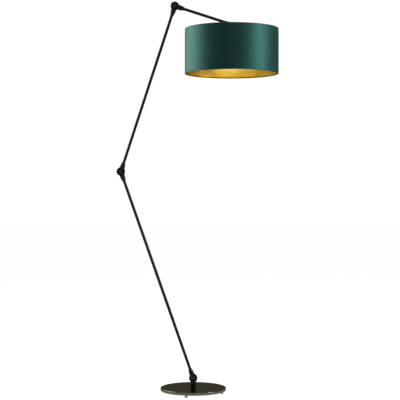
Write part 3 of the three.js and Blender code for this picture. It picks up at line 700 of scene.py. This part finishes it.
def knuckle_half(pivot, neck, side, size, length=None, straight=False, spigot=True):
    """A knuckle half as one grid. Rays fan out from the middle of the disc at the back, then leave a
    spine square to it all the way to the neck's end, and each is followed to the half's skin."""
    length = length or size["length"]
    middle = (size["neck"] + INNER_FACE) / 2
    lap = size["disc"] + LAP
    tilt = np.radians(np.linspace(-90, 0, 34)[:-1])
    across_lap = lap + np.array([-0.5, -0.2, -0.05, 0.05, 0.2, 0.5])
    stations = [np.linspace(0, lap - 0.8, 52), across_lap, np.linspace(lap + 0.8, length - 0.5, 44)]
    stations = np.concatenate([np.zeros(len(tilt)), *stations])
    tilt = np.concatenate([tilt, np.zeros(len(stations) - len(tilt))])
    ease = np.clip((stations - lap) / 6, 0, 1)
    spine_y = middle * (1 - ease**2 * (3 - 2 * ease))
    angle = np.linspace(0, 2 * np.pi, 161)
    ray_x = np.cos(tilt)[:, None] * np.cos(angle)[None, :]
    ray_y = np.cos(tilt)[:, None] * np.sin(angle)[None, :]
    ray_w = np.sin(tilt)[:, None] + 0 * angle[None, :]
    near, far = np.zeros_like(ray_x), np.full_like(ray_x, 3 * size["disc"])
    for _ in range(26):
        reach = (near + far) / 2
        x, y, w = ray_x * reach, spine_y[:, None] + ray_y * reach, stations[:, None] + ray_w * reach
        within = outside_half(x, y, w, size, length, straight) < 0
        near, far = np.where(within, reach, near), np.where(within, far, reach)
    skin = np.stack([x, y, w], axis=-1)
    rings = [((size["neck"] if straight else NECK_END) - 0.5, length)]
    if spigot:
        tip = length + SPIGOT_LENGTH
        rings += [(SPIGOT, length), (SPIGOT, tip - SPIGOT_BREAK), (SPIGOT - SPIGOT_BREAK, tip)]
    rings.append((0, rings[-1][1]))
    around = np.stack([np.cos(angle), np.sin(angle), 0 * angle], axis=-1)
    grid = np.concatenate([skin, [r * around + (0, 0, w) for r, w in rings]])
    return pivot + MM * grid @ np.array([sides_of(neck)[0], (0, side, 0), unit(neck)])


seat = BASE_PIVOT[2] / MM - COVER_TOP - GAP
head_neck = -(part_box("head_shade_half")[0].z - HEAD[2]) / MM
halves = [
    ("base_joint_lower_half", "base_knuckle_foot", BASE_PIVOT, DOWN, 1, LARGE, "base", seat, True, False),
    ("base_joint_upper_half", "base_knuckle_arm", BASE_PIVOT, LOWER_ARM, -1, LARGE, "lower_arm"),
    ("elbow_lower_half", "elbow_knuckle_below", ELBOW, -LOWER_ARM, 1, LARGE, "lower_arm"),
    ("elbow_upper_half", "elbow_knuckle_above", ELBOW, UPPER_ARM, -1, LARGE, "upper_arm"),
    ("shoulder_arm_half", "shoulder_knuckle_arm", SHOULDER, -UPPER_ARM, 1, LARGE, "upper_arm"),
    ("shoulder_boom_half", "shoulder_knuckle_boom", SHOULDER, BOOM, -1, LARGE, "boom"),
    ("head_boom_half", "head_knuckle_boom", HEAD, -BOOM, 1, SMALL, "boom"),
    ("head_shade_half", "head_knuckle_shade", HEAD, DOWN, -1, SMALL, "shade_head", head_neck, False, False),
]
for cad_name, name, pivot, neck, side, size, body, *end in halves:
    half = made(name, knuckle_half(pivot, neck, side, size, *end), crease=50)
    dress(half, satin_black, body, cad_name)

# -------- clamp bolts and washers
# A bolt with a domed socket head goes through each knuckle from the back, over a split spring washer.
# A vulcanised fibre ring between the halves gives the friction, and a plain washer lies under the knob.

ALONG_HINGE = np.array((0, 1.0, 0))
THIN = 1.0
FIBRE_HALF, FIBRE_BAND = 0.6, 3.9

fibre, tree, skin, place = bare("Vulcanised fibre")
strands = node(tree, "Mapping", {0: place, "Scale": (1, 6, 1)}).outputs[0]
felted = noise(tree, strands, 1 / 0.0008, 5)
fibre_colour = tint(tree, felted, (0.055, 0.018, 0.010, 1), (0.12, 0.045, 0.024, 1))
feed(tree, skin, Base_Color=fibre_colour, Roughness=spread(tree, felted, 0.65, 0.9))
raised(tree, skin, felted, 0.00008)

clamps = [
    ("base_joint", BASE_PIVOT, LARGE, "base"),
    ("elbow", ELBOW, LARGE, "lower_arm"),
    ("shoulder", SHOULDER, LARGE, "upper_arm"),
    ("head", HEAD, SMALL, "boom"),
]
for joint, pivot, size, body in clamps:
    outer = size["disc"] - GAP
    inner = outer - FIBRE_BAND * size["disc"] / LARGE["disc"]
    section = rounded(ring_section(inner, outer, -FIBRE_HALF, FIBRE_HALF), 0.25)
    friction = made(f"{joint}_fibre_ring", turned(section, pivot, ALONG_HINGE, 112))
    dress(friction, fibre, body, f"{joint}_friction_washer")

    hole = size["bolt"] + GAP
    face = size["neck"] + GAP
    under_head = face + THIN + GAP
    head_top = under_head + size["head_height"]
    bolt_end = -(under_head + size["knob_height"]) + 2
    socket = 0.36 * size["head"]
    socket_floor = head_top - 0.6 * size["head_height"]
    bolt_corners = [
        (0, bolt_end),
        (size["bolt"] - 0.5, bolt_end),
        (size["bolt"], bolt_end + 0.6),
        (size["bolt"], under_head),
        (size["head"], under_head),
        (size["head"], head_top - 0.55 * size["head_height"]),
        (0.86 * size["head"], head_top - 0.2 * size["head_height"]),
        (0.62 * size["head"], head_top - 0.02),
        (socket + 0.25, head_top),
    ]
    socket_corners = [(socket, head_top - 0.25), (socket, socket_floor), (0, socket_floor - 0.3)]

    def hex_socket(angle, height, radius):
        """Pulls the socket's wall in from a circle to a hexagon of the same corners."""
        within = (radius <= socket + 1e-6) & (height >= socket_floor - 1e-6)
        return np.where(within, radius * (hexagon(angle) - 1), 0)

    bolt_profile = divided(np.concatenate([rounded(bolt_corners, 0.7), socket_corners]), 1.2)
    bolt_grid = turned(bolt_profile, pivot, ALONG_HINGE, 96, hex_socket)
    bolt = made(f"{joint}_socket_bolt", bolt_grid, crease=45)
    dress(bolt, satin_black, body, f"{joint}_clamp_bolt")

    split = {"angles": np.radians(np.linspace(34, 326, 90))}
    for name, cad_name, low, high, turning in (
        ("split_washer", "spring_washer", face, face + THIN, split),
        ("plain_washer", "knob_washer", -face - THIN, -face, {"columns": 80}),
    ):
        section = divided(rounded(ring_section(hole, size["washer"], low, high), 0.22), 0.8)
        ring = made(f"{joint}_{name}", turned(section, pivot, ALONG_HINGE, **turning))
        dress(ring, zinc, body, f"{joint}_{cad_name}")

# -------- clamp knobs
# A round black knob on the front of each knuckle screws onto the bolt's end. It is moulded in glass
# filled nylon: fluted round its side for grip, with a domed button inside a deep ring in its face.

nylon = skinned(
    "Black moulded nylon",
    colour=(0.0030, 0.0030, 0.0031, 1),
    pale=(0.0050, 0.0050, 0.0051, 1),
    rough=(0.17, 0.26),
    grain=0.0004,
    relief=0.000035,
    dust=0.2,
    worn=0.5,
    worn_colour=(0.035, 0.035, 0.036, 1),
    rub_length=0.012,
    Specular_IOR_Level=0.9,
)
FLUTES, FLUTE_DEPTH = 32, 0.072  # the depth as a share of the radius

for joint, pivot, size, _ in clamps:
    radius, back = size["knob"], size["neck"] + 2 * GAP + THIN
    front = back + size["knob_height"]
    rise = 0.42 * size["knob_height"]
    shoulder = front - rise
    bolt_end = front - 2
    button, groove, land = 0.36 * radius, 0.50 * radius, 0.66 * radius
    face_corners = [
        (button, front - 0.85 * rise),
        (groove - 0.4, front - 0.9 * rise),
        (groove + 0.5, front - 0.85 * rise),
        (land - 0.6, front - 0.30 * rise),
        (land + 1.2, front - 0.26 * rise),
        (0.90 * radius, front - 0.50 * rise),
        (radius, shoulder - 0.3 * rise),
    ]
    domed_button = bow((0, front - 0.85 * rise), (button, 0.85 * rise), 90, 4, 22)
    back_corners = [(radius, back + 1.2), (radius - 0.5, back + 0.25), (radius - 1.1, back)]
    hole = size["bolt"] + GAP
    bore_corners = [(hole, back), (hole, bolt_end + GAP), (0, bolt_end + GAP)]
    outline = [domed_button, rounded(face_corners, 0.55), back_corners, bore_corners]
    profile = divided(np.concatenate(outline), 0.5)

    def flutes(angle, height, radii):
        """Round grooves along the side, as deep as a rounded cosine, that fade out at both ends."""
        low_fade = np.clip((height - back - 0.5) / 0.8, 0, 1)
        high_fade = np.clip((shoulder + 0.55 * rise - height) / (0.5 * rise), 0, 1)
        rib = np.abs(np.cos(FLUTES * angle / 2)) ** 0.7
        return np.where(radii > 0.8 * radius, -FLUTE_DEPTH * radius * (1 - rib) * low_fade * high_fade, 0)

    knob_grid = turned(profile, pivot, -ALONG_HINGE, FLUTES * 9, flutes)
    knob = made(f"{joint}_fluted_knob", knob_grid, crease=55)
    dress(knob, nylon, f"{joint}_knob", f"{joint}_knob")

# -------- arm and boom tubes
# The arms and the boom are drawn steel tube, 16 mm across with a 1 mm wall. The ends are faced and
# broken, slip over the knuckles' spigots, and carry the same satin black coat as the castings.

TUBE_RADIUS, TUBE_WALL = 8.0, 1.0
CORD_RADIUS, CORD_PAST = 3, 3

arms = [
    ("lower_arm", BASE_PIVOT, ELBOW, LOWER_ARM, LARGE),
    ("upper_arm", ELBOW, SHOULDER, UPPER_ARM, LARGE),
    ("boom", SHOULDER, HEAD, BOOM, SMALL),
]
for arm, start, stop, along, far_knuckle in arms:
    length = np.linalg.norm(stop - start) / MM
    near_end, far_end = LARGE["length"] + GAP, length - far_knuckle["length"] - GAP
    section = rounded(ring_section(TUBE_RADIUS - TUBE_WALL, TUBE_RADIUS, near_end, far_end), 0.3)
    tube = made(f"{arm}_drawn_tube", turned(divided(section, 30), start, along, 56))
    dress(tube, satin_black, arm, f"{arm}_tube")

    cord_start, cord_end = LARGE["disc"] + CORD_PAST, length - far_knuckle["disc"] - CORD_PAST
    section = divided(rounded(plug(CORD_RADIUS, cord_start, cord_end), 1.2), 40)
    inner_cable = made(f"{arm}_cable_run", turned(section, start, along, 24))
    dress(inner_cable, cable_jacket, arm, f"{arm}_cable")

# -------- shade covering
# The drum is teal velvet laminated on a thin styrene sheet and rolled to a cylinder. The sheet
# overlaps 14 mm at the back, and at both rims the velvet is folded over a wire hoop and tucked inside.

drum_low, drum_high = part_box("shade_drum")
SHADE = floor_point("shade_drum")
RIM_LOW, RIM_HIGH = drum_low.z / MM, drum_high.z / MM
DRUM_RADIUS = (drum_high.x - drum_low.x) / 2 / MM
DRUM_SKIN = 1.6
HOOP_RADIUS, HOOP_INSET = DRUM_RADIUS - 3.9, 3.0
OVERLAP_FROM, OVERLAP_TO = np.radians(90.0), np.radians(93.2)


def hem(inwards):
    """Half of the drum's outline in mm: out of the inner wall, round the wire hoop and up the outside.
    Heights count from the rim, inwards being +1 at the bottom rim and -1 at the top one."""
    rim = RIM_LOW if inwards > 0 else RIM_HIGH
    fold = [
        (DRUM_RADIUS - DRUM_SKIN, 12.0),
        (DRUM_RADIUS - DRUM_SKIN - 0.1, 5.9),
        (HOOP_RADIUS + 1.0, 5.2),
        (HOOP_RADIUS - 0.6, 4.7),
        (HOOP_RADIUS - 1.6, 3.1),
        (HOOP_RADIUS - 1.1, 1.1),
        (HOOP_RADIUS + 0.3, 0.1),
        (DRUM_RADIUS - 1.6, 0.0),
        (DRUM_RADIUS - 0.4, 0.6),
        (DRUM_RADIUS, 2.2),
        (DRUM_RADIUS, 7.6),
        (DRUM_RADIUS - 0.3, 9.2),
        (DRUM_RADIUS - 0.1, 11.5),
    ]
    return [(r, rim + inwards * h) for r, h in fold]


drum_outline = rounded(hem(1) + hem(-1)[::-1] + hem(1)[:1], 0.9, 4)
overlap_step = [OVERLAP_FROM, OVERLAP_TO, OVERLAP_TO + 0.0012]
around = np.unique(np.concatenate([np.linspace(0, 2 * np.pi, 289), overlap_step]))
phases = np.random.default_rng(11).uniform(0, 2 * np.pi, 4)


def bulge(height):
    """Half a sine wave from one rim to the other."""
    return np.sin(np.pi * np.clip((height - RIM_LOW) / (RIM_HIGH - RIM_LOW), 0, 1))


def drum_ripple(angle, height, radius):
    """Slow unevenness of a hand-rolled drum, and the overlap that ramps up and ends in a step."""
    slow = sum(np.cos(k * angle + phases[k - 2]) / k for k in (2, 3, 5))
    ramp = np.clip((angle - OVERLAP_FROM) / (OVERLAP_TO - OVERLAP_FROM), 0, 1) * (angle <= OVERLAP_TO)
    return 0.22 * slow * bulge(height) + np.where(radius > DRUM_RADIUS - 1, 0.7 * ramp, 0)


drum_grid = turned(divided(drum_outline, 16), SHADE, angles=around, ripple=drum_ripple)
drum = made("velvet_drum", drum_grid, crease=50)

TEAL = np.array((0.034, 0.119, 0.106))
HEM_SHADE_AND_FOIL_REFLECTION = (0.085, 0.066, 0.022, 1)  # painted shade on the velvet folded round the hoop inside the rims, with a painted gold reflection of the foil
teal_velvet, tree, skin, place = bare(
    "Teal velvet",
    Specular_IOR_Level=0.12,
    Sheen_Weight=0.05,
    Sheen_Roughness=0.35,
    Sheen_Tint=(0.45, 1.0, 0.93, 1),
)
nap_lie = node(tree, "Mapping", {0: place, "Scale": (1, 1, 0.12)}).outputs[0]
pile, brushed = noise(tree, place, 1 / 0.0007), noise(tree, nap_lie, 1 / 0.004, 3)
leaning = noise(tree, place, 1 / 0.09, 3)
nap = maths(tree, "ADD", maths(tree, "MULTIPLY", brushed, 0.35), maths(tree, "MULTIPLY", leaning, 0.65))
deep, pale = ((*(share * TEAL), 1) for share in (0.80, 1.22))
centred = {0: place, "Location": (-SHADE[0], -SHADE[1], 0), "Scale": (1, 1, 0)}
across = node(tree, "Mapping", centred).outputs[0]
from_axis = node(tree, "VectorMath", {0: across}, operation="LENGTH").outputs["Value"]
# Velvet nearer the axis than the outer skin, on the inner side of the hems, is painted dark olive-gold:
# painted shade with a painted reflection of the foil.
painted_shade_on_bead = spread(tree, from_axis, 1, 0, (DRUM_RADIUS - 1.9) * MM, (DRUM_RADIUS - 1.1) * MM)
feed(
    tree,
    skin,
    Base_Color=tint(tree, painted_shade_on_bead, tint(tree, spread(tree, nap, 0, 1), deep, pale), HEM_SHADE_AND_FOIL_REFLECTION),
    Roughness=spread(tree, leaning, 0.46, 0.56),
    Metallic=spread(tree, brushed, 0.58, 0.72),
)
raised(tree, skin, pile, 0.00010, under=raised(tree, skin, brushed, 0.00012))
dress(drum, teal_velvet, "shade_head", "shade_drum")

# -------- shade lining
# A sheet of gold foil on film lines the drum. It was laid by hand, so it has fine crinkles and faint
# long buckles, and its two edges meet under the covering's overlap. The hems trap it at both rims.

LINING_OUTER, LINING = DRUM_RADIUS - DRUM_SKIN - GAP, 0.5
LINING_INSET = 1.8


def buckles(angle, height, radius):
    """Long shallow buckles of a sheet held at its rims: two sets of waves round the drum, which lean
    with the height and are deepest half way up."""
    swell = np.sin(9 * angle + 0.02 * height) + 0.6 * np.sin(14 * angle - 0.03 * height + 1)
    return -0.03 * bulge(height) * (1 + swell)


lining_ends = (RIM_LOW + LINING_INSET, RIM_HIGH - LINING_INSET)
section = divided(np.array(ring_section(LINING_OUTER - LINING, LINING_OUTER, *lining_ends), float), 14)
lining = made("foil_lining", turned(section, SHADE, columns=288, ripple=buckles))

gold_foil, tree, skin, place = bare("Gold foil", Metallic=1.0)
crinkle, wide = noise(tree, place, 1 / 0.0022, 4), noise(tree, place, 1 / 0.05, 3)
creases = node(tree, "TexVoronoi", {"Vector": place, "Scale": 70}, feature="DISTANCE_TO_EDGE")
folds = spread(tree, creases.outputs["Distance"], 0, 1, stop=0.05)
foil_colour = tint(tree, wide, (0.96, 0.765, 0.20, 1), (0.97, 0.79, 0.23, 1))
feed(tree, skin, Base_Color=foil_colour, Roughness=spread(tree, crinkle, 0.27, 0.30))
raised(tree, skin, crinkle, 0.000008, under=raised(tree, skin, folds, 0.00001))
dress(lining, gold_foil, "shade_head", "shade_lining")

# -------- wire hoops and spider
# Two hoops of steel wire stiffen the rims inside the hems. A washer-like fitter ring hangs from the top
# hoop on three bent spokes, each with a weld bead at its foot. All of it has a cream epoxy coat.

HOOP_WIRE, SPOKE_WIRE = 1.2, 1.6

cream_epoxy = skinned(
    "Cream epoxy coat",
    colour=(0.66, 0.64, 0.58, 1),
    pale=(0.76, 0.74, 0.69, 1),
    rough=(0.30, 0.44),
    grain=0.0009,
    relief=0.00004,
    dust=0.35,
    worn=0.4,
    worn_colour=(0.38, 0.36, 0.33, 1),
    rub_length=0.02,
)

hoops = [
    ("bottom_wire_hoop", "shade_bottom_ring", RIM_LOW + HOOP_INSET),
    ("top_wire_hoop", "shade_top_ring", RIM_HIGH - HOOP_INSET),
]
for name, cad_name, level in hoops:
    wire = bow((HOOP_RADIUS, level), (HOOP_WIRE, HOOP_WIRE), 0, 360, 17)
    hoop = made(name, turned(wire, SHADE, columns=240))
    dress(hoop, cream_epoxy, "shade_head", cad_name)

FITTER_INNER, FITTER_OUTER, FITTER_SHEET = 20.3, 27.0, 2.0
FITTER_LEVEL = RIM_HIGH - 41.5
BEAD_OUT, BEAD_SIZE = 24.6, (2.5, 1.5)
fitter_low, fitter_top = FITTER_LEVEL - FITTER_SHEET / 2, FITTER_LEVEL + FITTER_SHEET / 2
fitter_section = rounded(ring_section(FITTER_INNER, FITTER_OUTER, fitter_low, fitter_top), 0.6)
spider_grids = [turned(divided(fitter_section, 1.5), SHADE, columns=120)]
reach, hoop_level = HOOP_RADIUS - HOOP_WIRE - GAP, RIM_HIGH - HOOP_INSET
for turn in np.radians((90, 210, 330)):
    out = np.array((np.cos(turn), np.sin(turn), 0))
    spoke_places = [
        (FITTER_OUTER - 2.2, fitter_top + 0.6),
        (FITTER_OUTER + 11.8, fitter_top + 3),
        (0.4 * reach, hoop_level - 6),
        (reach - 30, hoop_level - 0.6),
        (reach, hoop_level),
    ]
    spoke = route([outward * out + (0, 0, level) for outward, level in spoke_places], 60)
    spider_grids.append(SHADE + MM * swept(spoke, SPOKE_WIRE, (-out[1], out[0], 0), 20))
    bead_at = SHADE + MM * (BEAD_OUT * out + (0, 0, fitter_top + 0.5))
    spider_grids.append(turned(bow((0, 0), BEAD_SIZE, -90, 90, 12), bead_at, columns=20))
dress(made("welded_spider", *spider_grids), cream_epoxy, "shade_head", "shade_spider")

# -------- lampholder
# The lampholder is black thermoplastic in three parts: a domed cap screwed to the threaded tube, a body
# with a threaded skirt, and a ribbed ring that clamps the spider's fitter. A brass tongue feeds the bulb.

holder_plastic = skinned(
    "Black thermoplastic",
    colour=(0.010, 0.010, 0.0105, 1),
    pale=(0.016, 0.016, 0.0165, 1),
    rough=(0.28, 0.40),
    grain=0.0008,
    relief=0.00003,
    dust=0.4,
    worn=0.3,
    worn_colour=(0.05, 0.05, 0.05, 1),
    rub_length=0.02,
)
brass = metal("Brass", (0.60, 0.40, 0.12, 1), (0.72, 0.52, 0.20, 1), (0.22, 0.38), 0.0003)

threaded_tube("holder_threaded_tube", "holder_nipple", "shade_head", SHADE)

HOLDER_RADIUS, HOLDER_WALL = 19.5, 2.0
cap_low, cap_high = levels("holder_cap")
cap_shoulder, cap_flat = 8.0, 9.0
dome_middle = (cap_flat, cap_low + cap_shoulder)
dome = (HOLDER_RADIUS - cap_flat, cap_high - cap_low - cap_shoulder)
dome_inside = (HOLDER_RADIUS - cap_flat - HOLDER_WALL, cap_high - cap_low - cap_shoulder - HOLDER_WALL)
cap_parts = [
    [[HOLDER_RADIUS - 0.4, cap_low], [HOLDER_RADIUS, cap_low + 0.4]],
    bow(dome_middle, dome, 0, 90, 20),
    [[5.6, cap_high], [BORE, cap_high - 0.3], [BORE, cap_high - HOLDER_WALL]],
    bow(dome_middle, dome_inside, 90, 0, 14),
    [[HOLDER_RADIUS - HOLDER_WALL, cap_low], [HOLDER_RADIUS - 0.4, cap_low]],
]
grip_heights = (cap_low + 1, cap_low + cap_shoulder - 0.5)
grip = scored(0.5, HOLDER_RADIUS - 0.3, *grip_heights, lambda angle, height: np.cos(30 * angle) > 0.2)
cap_grid = turned(divided(np.concatenate(cap_parts), 0.9), SHADE, columns=240, ripple=grip)
holder_cap = made("holder_dome", cap_grid, crease=50)

body_low, body_high = levels("holder_body")
SOCKET_RADIUS, FLANGE, FLANGE_HEIGHT = 13.7, 23.0, 2.6
socket_top, flange_low = body_high - 4.5, fitter_top + GAP
body_corners = [
    (0, socket_top),
    (SOCKET_RADIUS, socket_top),
    (SOCKET_RADIUS, body_low),
    (HOLDER_RADIUS, body_low),
    (HOLDER_RADIUS, flange_low),
    (FLANGE, flange_low),
    (FLANGE, flange_low + FLANGE_HEIGHT),
    (HOLDER_RADIUS, flange_low + FLANGE_HEIGHT),
    (HOLDER_RADIUS, body_high),
    (0, body_high),
]
skirt = thread(3.0, 0.9, HOLDER_RADIUS - 0.2, body_low + 1, flange_low - 1)
body_grid = turned(divided(rounded(body_corners, 0.4), 0.6), SHADE, columns=120, ripple=skirt)
holder_body = made("holder_skirt", body_grid, crease=55)

ring_low, ring_high = levels("holder_ring")
ring_outline = rounded(ring_section(HOLDER_RADIUS + GAP, FITTER_OUTER, ring_low, ring_high), 0.8)
rib_heights = (ring_low - 1, ring_high - 1.4)
ring_ribs = scored(0.7, FITTER_OUTER - 0.3, *rib_heights, lambda angle, height: np.cos(40 * angle) > 0.1)
ring_grid = turned(divided(ring_outline, 0.8), SHADE, columns=320, ripple=ring_ribs)
holder_ring = made("holder_ribbed_ring", ring_grid, crease=50)
for part, name in ((holder_cap, "holder_cap"), (holder_body, "holder_body"), (holder_ring, "holder_ring")):
    dress(part, holder_plastic, "shade_head", name)

TONGUE_TIP, TONGUE_RADIUS = 3.2, 5
tongue_low, tongue_high = levels("holder_contact")
tongue_corners = [
    (0, tongue_low),
    (TONGUE_TIP, tongue_low),
    (TONGUE_RADIUS, tongue_high - 1),
    (TONGUE_RADIUS, tongue_high),
    (0, tongue_high),
]
contact = made("brass_tongue", turned(rounded(tongue_corners, 0.5), SHADE, columns=48))
dress(contact, brass, "shade_head", "holder_contact")

# -------- bulb
# The bulb is a frosted LED globe cemented into a rolled screw cap of nickelled brass. It is lit: the
# lower part glows warm white, and the part by the cap hides the driver.

bulb_low, bulb_high = levels("bulb_cap")
cap_corners = [
    (0, bulb_low),
    (12.6, bulb_low),
    (13.05, bulb_low + 2.0),
    (13.05, bulb_high - 6.5),
    (12.2, bulb_high - 5),
    (6.2, bulb_high - 1.9),
    (4.5, bulb_high - 1.4),
    (4.2, bulb_high - 0.3),
    (0, bulb_high),
]
screw = thread(3.62, 1.15, 12.2, bulb_low + 2.4, bulb_high - 6.2)
screw_grid = turned(divided(rounded(cap_corners, 0.4), 0.4), SHADE, columns=96, ripple=screw)
nickel = metal("Nickelled brass", (0.50, 0.46, 0.38, 1), (0.64, 0.60, 0.52, 1), (0.20, 0.36), 0.0003)
dress(made("screw_cap", screw_grid, crease=60), nickel, "shade_head", "bulb_cap")

globe_low, globe_high = levels("bulb_globe")
GLOBE_RADIUS, GLOBE_WALL, GLOBE_NECK = 30.0, 2.0, 14.5
FULLY_LIT, UNLIT = 24, 42  # heights above the globe's bottom


def globe_shell(inset):
    """The globe's section in mm from its bottom: an arc past its widest point and a straight neck."""
    radius = GLOBE_RADIUS - inset
    sphere = bow((0, globe_low + GLOBE_RADIUS), (radius, radius), -90, 44, 44)
    out, height = sphere[-1]
    waist = (0.62 * out + 0.38 * GLOBE_NECK, 0.5 * (height + globe_high))
    neck = route([sphere[-1], waist, (GLOBE_NECK - inset, globe_high)], 16)
    return np.concatenate([sphere, neck[1:]])


globe_section = np.concatenate([globe_shell(0), globe_shell(GLOBE_WALL)[::-1]])
globe = made("frosted_bulb", turned(globe_section, SHADE, columns=72))
frosted, tree, skin, place = bare("Frosted globe", Emission_Strength=5.0)
height = node(tree, "SeparateXYZ", {0: place}).outputs["Z"]
above_led = spread(tree, height, 0, 1, (globe_low + FULLY_LIT) * MM, (globe_low + UNLIT) * MM)
frost, cloud = noise(tree, place, 1 / 0.0012, 3), noise(tree, place, 1 / 0.02)
feed(
    tree,
    skin,
    Emission_Color=tint(tree, above_led, (1.0, 0.96, 0.84, 1), (0.05, 0.046, 0.038, 1)),
    Base_Color=tint(tree, cloud, (0.80, 0.78, 0.72, 1), (0.90, 0.88, 0.84, 1)),
    Roughness=spread(tree, frost, 0.42, 0.60),
)
raised(tree, skin, frost, 0.00004)
dress(globe, frosted, "shade_head", "bulb_globe")

# -------- floor, light and camera
# A plain white floor and a plain white room. One soft light stands to the right, a wider one to the left
# and a little behind, and a broad one hangs overhead. The camera looks nearly level from hip height.

FLOOR_HALF, FLOOR_STEPS = 30.0, 5
WHITE = (1, 1, 1, 1)
edge_line = np.linspace(-FLOOR_HALF, FLOOR_HALF, FLOOR_STEPS)
floor_points = np.stack([*np.meshgrid(edge_line, edge_line), np.zeros((FLOOR_STEPS, FLOOR_STEPS))], axis=-1)
cell = np.arange(FLOOR_STEPS**2).reshape(FLOOR_STEPS, FLOOR_STEPS)
floor_faces = np.stack([cell[:-1, :-1], cell[:-1, 1:], cell[1:, 1:], cell[1:, :-1]], axis=-1)
floor_mesh = bpy.data.meshes.new("floor")
floor_mesh.from_pydata(floor_points.reshape(-1, 3).tolist(), [], floor_faces.reshape(-1, 4).tolist())
floor = bpy.data.objects.new("floor", floor_mesh)
bpy.context.scene.collection.objects.link(floor)
PALE = (0.35, 0.35, 0.35, 1)
matt = {"Roughness": 0.9, "Specular_IOR_Level": 0.1}
floor_paint, tree, skin, _ = bare("White floor", Base_Color=PALE, Emission_Color=WHITE, **matt)
seen = node(tree, "LightPath").outputs
mirrored = maths(tree, "MULTIPLY", seen["Is Glossy Ray"], 0.20)
feed(tree, skin, Emission_Strength=maths(tree, "MULTIPLY_ADD", seen["Is Camera Ray"], 0.96, mirrored))
floor_mesh.materials.append(floor_paint)

ROOM_GREY, BACKDROP = 0.07, 1.05
world = bpy.data.worlds.new("White room")
bpy.context.scene.world = world
world.use_nodes = True
tree = world.node_tree
tree.nodes.clear()
brightness = spread(tree, node(tree, "LightPath").outputs["Is Camera Ray"], ROOM_GREY, BACKDROP)
backdrop = node(tree, "Background", {"Color": WHITE, "Strength": brightness})
node(tree, "OutputWorld", {"Surface": backdrop.outputs[0]})


def softbox(name, azimuth, distance, height, size, power, target, colour=(1, 1, 1)):
    """A rectangular light of a size in metres, at an azimuth in degrees from the camera's side. It
    stands at a distance and a height in metres and faces the target."""
    lamp = bpy.data.lights.new(name, "AREA")
    lamp.shape, lamp.size, lamp.size_y, lamp.energy = "RECTANGLE", *size, power
    lamp.color = colour
    light = bpy.data.objects.new(name, lamp)
    turn = math.radians(azimuth)
    light.location = (target.x + distance * math.sin(turn), target.y - distance * math.cos(turn), height)
    light.rotation_euler = (target - light.location).to_track_quat("-Z", "Y").to_euler()
    bpy.context.scene.collection.objects.link(light)


middle = Vector((float(SHADE[0]), 0, (RIM_LOW + RIM_HIGH) / 2 * MM))
softbox("right softbox", 68, 3.0, 2.3, (1.3, 1.8), 50, middle)
softbox("left softbox", -109, 2.8, 2.3, (3.1, 1.8), 74, middle, (1.0, 0.98, 0.91))
softbox("overhead softbox", 0, 0.01, 4.6, (5.0, 5.0), 55, Vector((0, 0, 0)))

CAMERA_ASIDE, CAMERA_BACK, CAMERA_HEIGHT, CAMERA_DIP = 0.0362, 6.088, 1.0735, 0.428
view = bpy.data.cameras.new("camera")
view.lens, view.sensor_width = 102.8, 36.0
camera = bpy.data.objects.new("camera", view)
camera.location = (BASE[0] + CAMERA_ASIDE, -CAMERA_BACK, CAMERA_HEIGHT)
camera.rotation_euler = (math.radians(90 - CAMERA_DIP), 0, 0)
bpy.context.scene.collection.objects.link(camera)
bpy.context.scene.camera = camera
bpy.context.scene.view_settings.view_transform = "Standard"
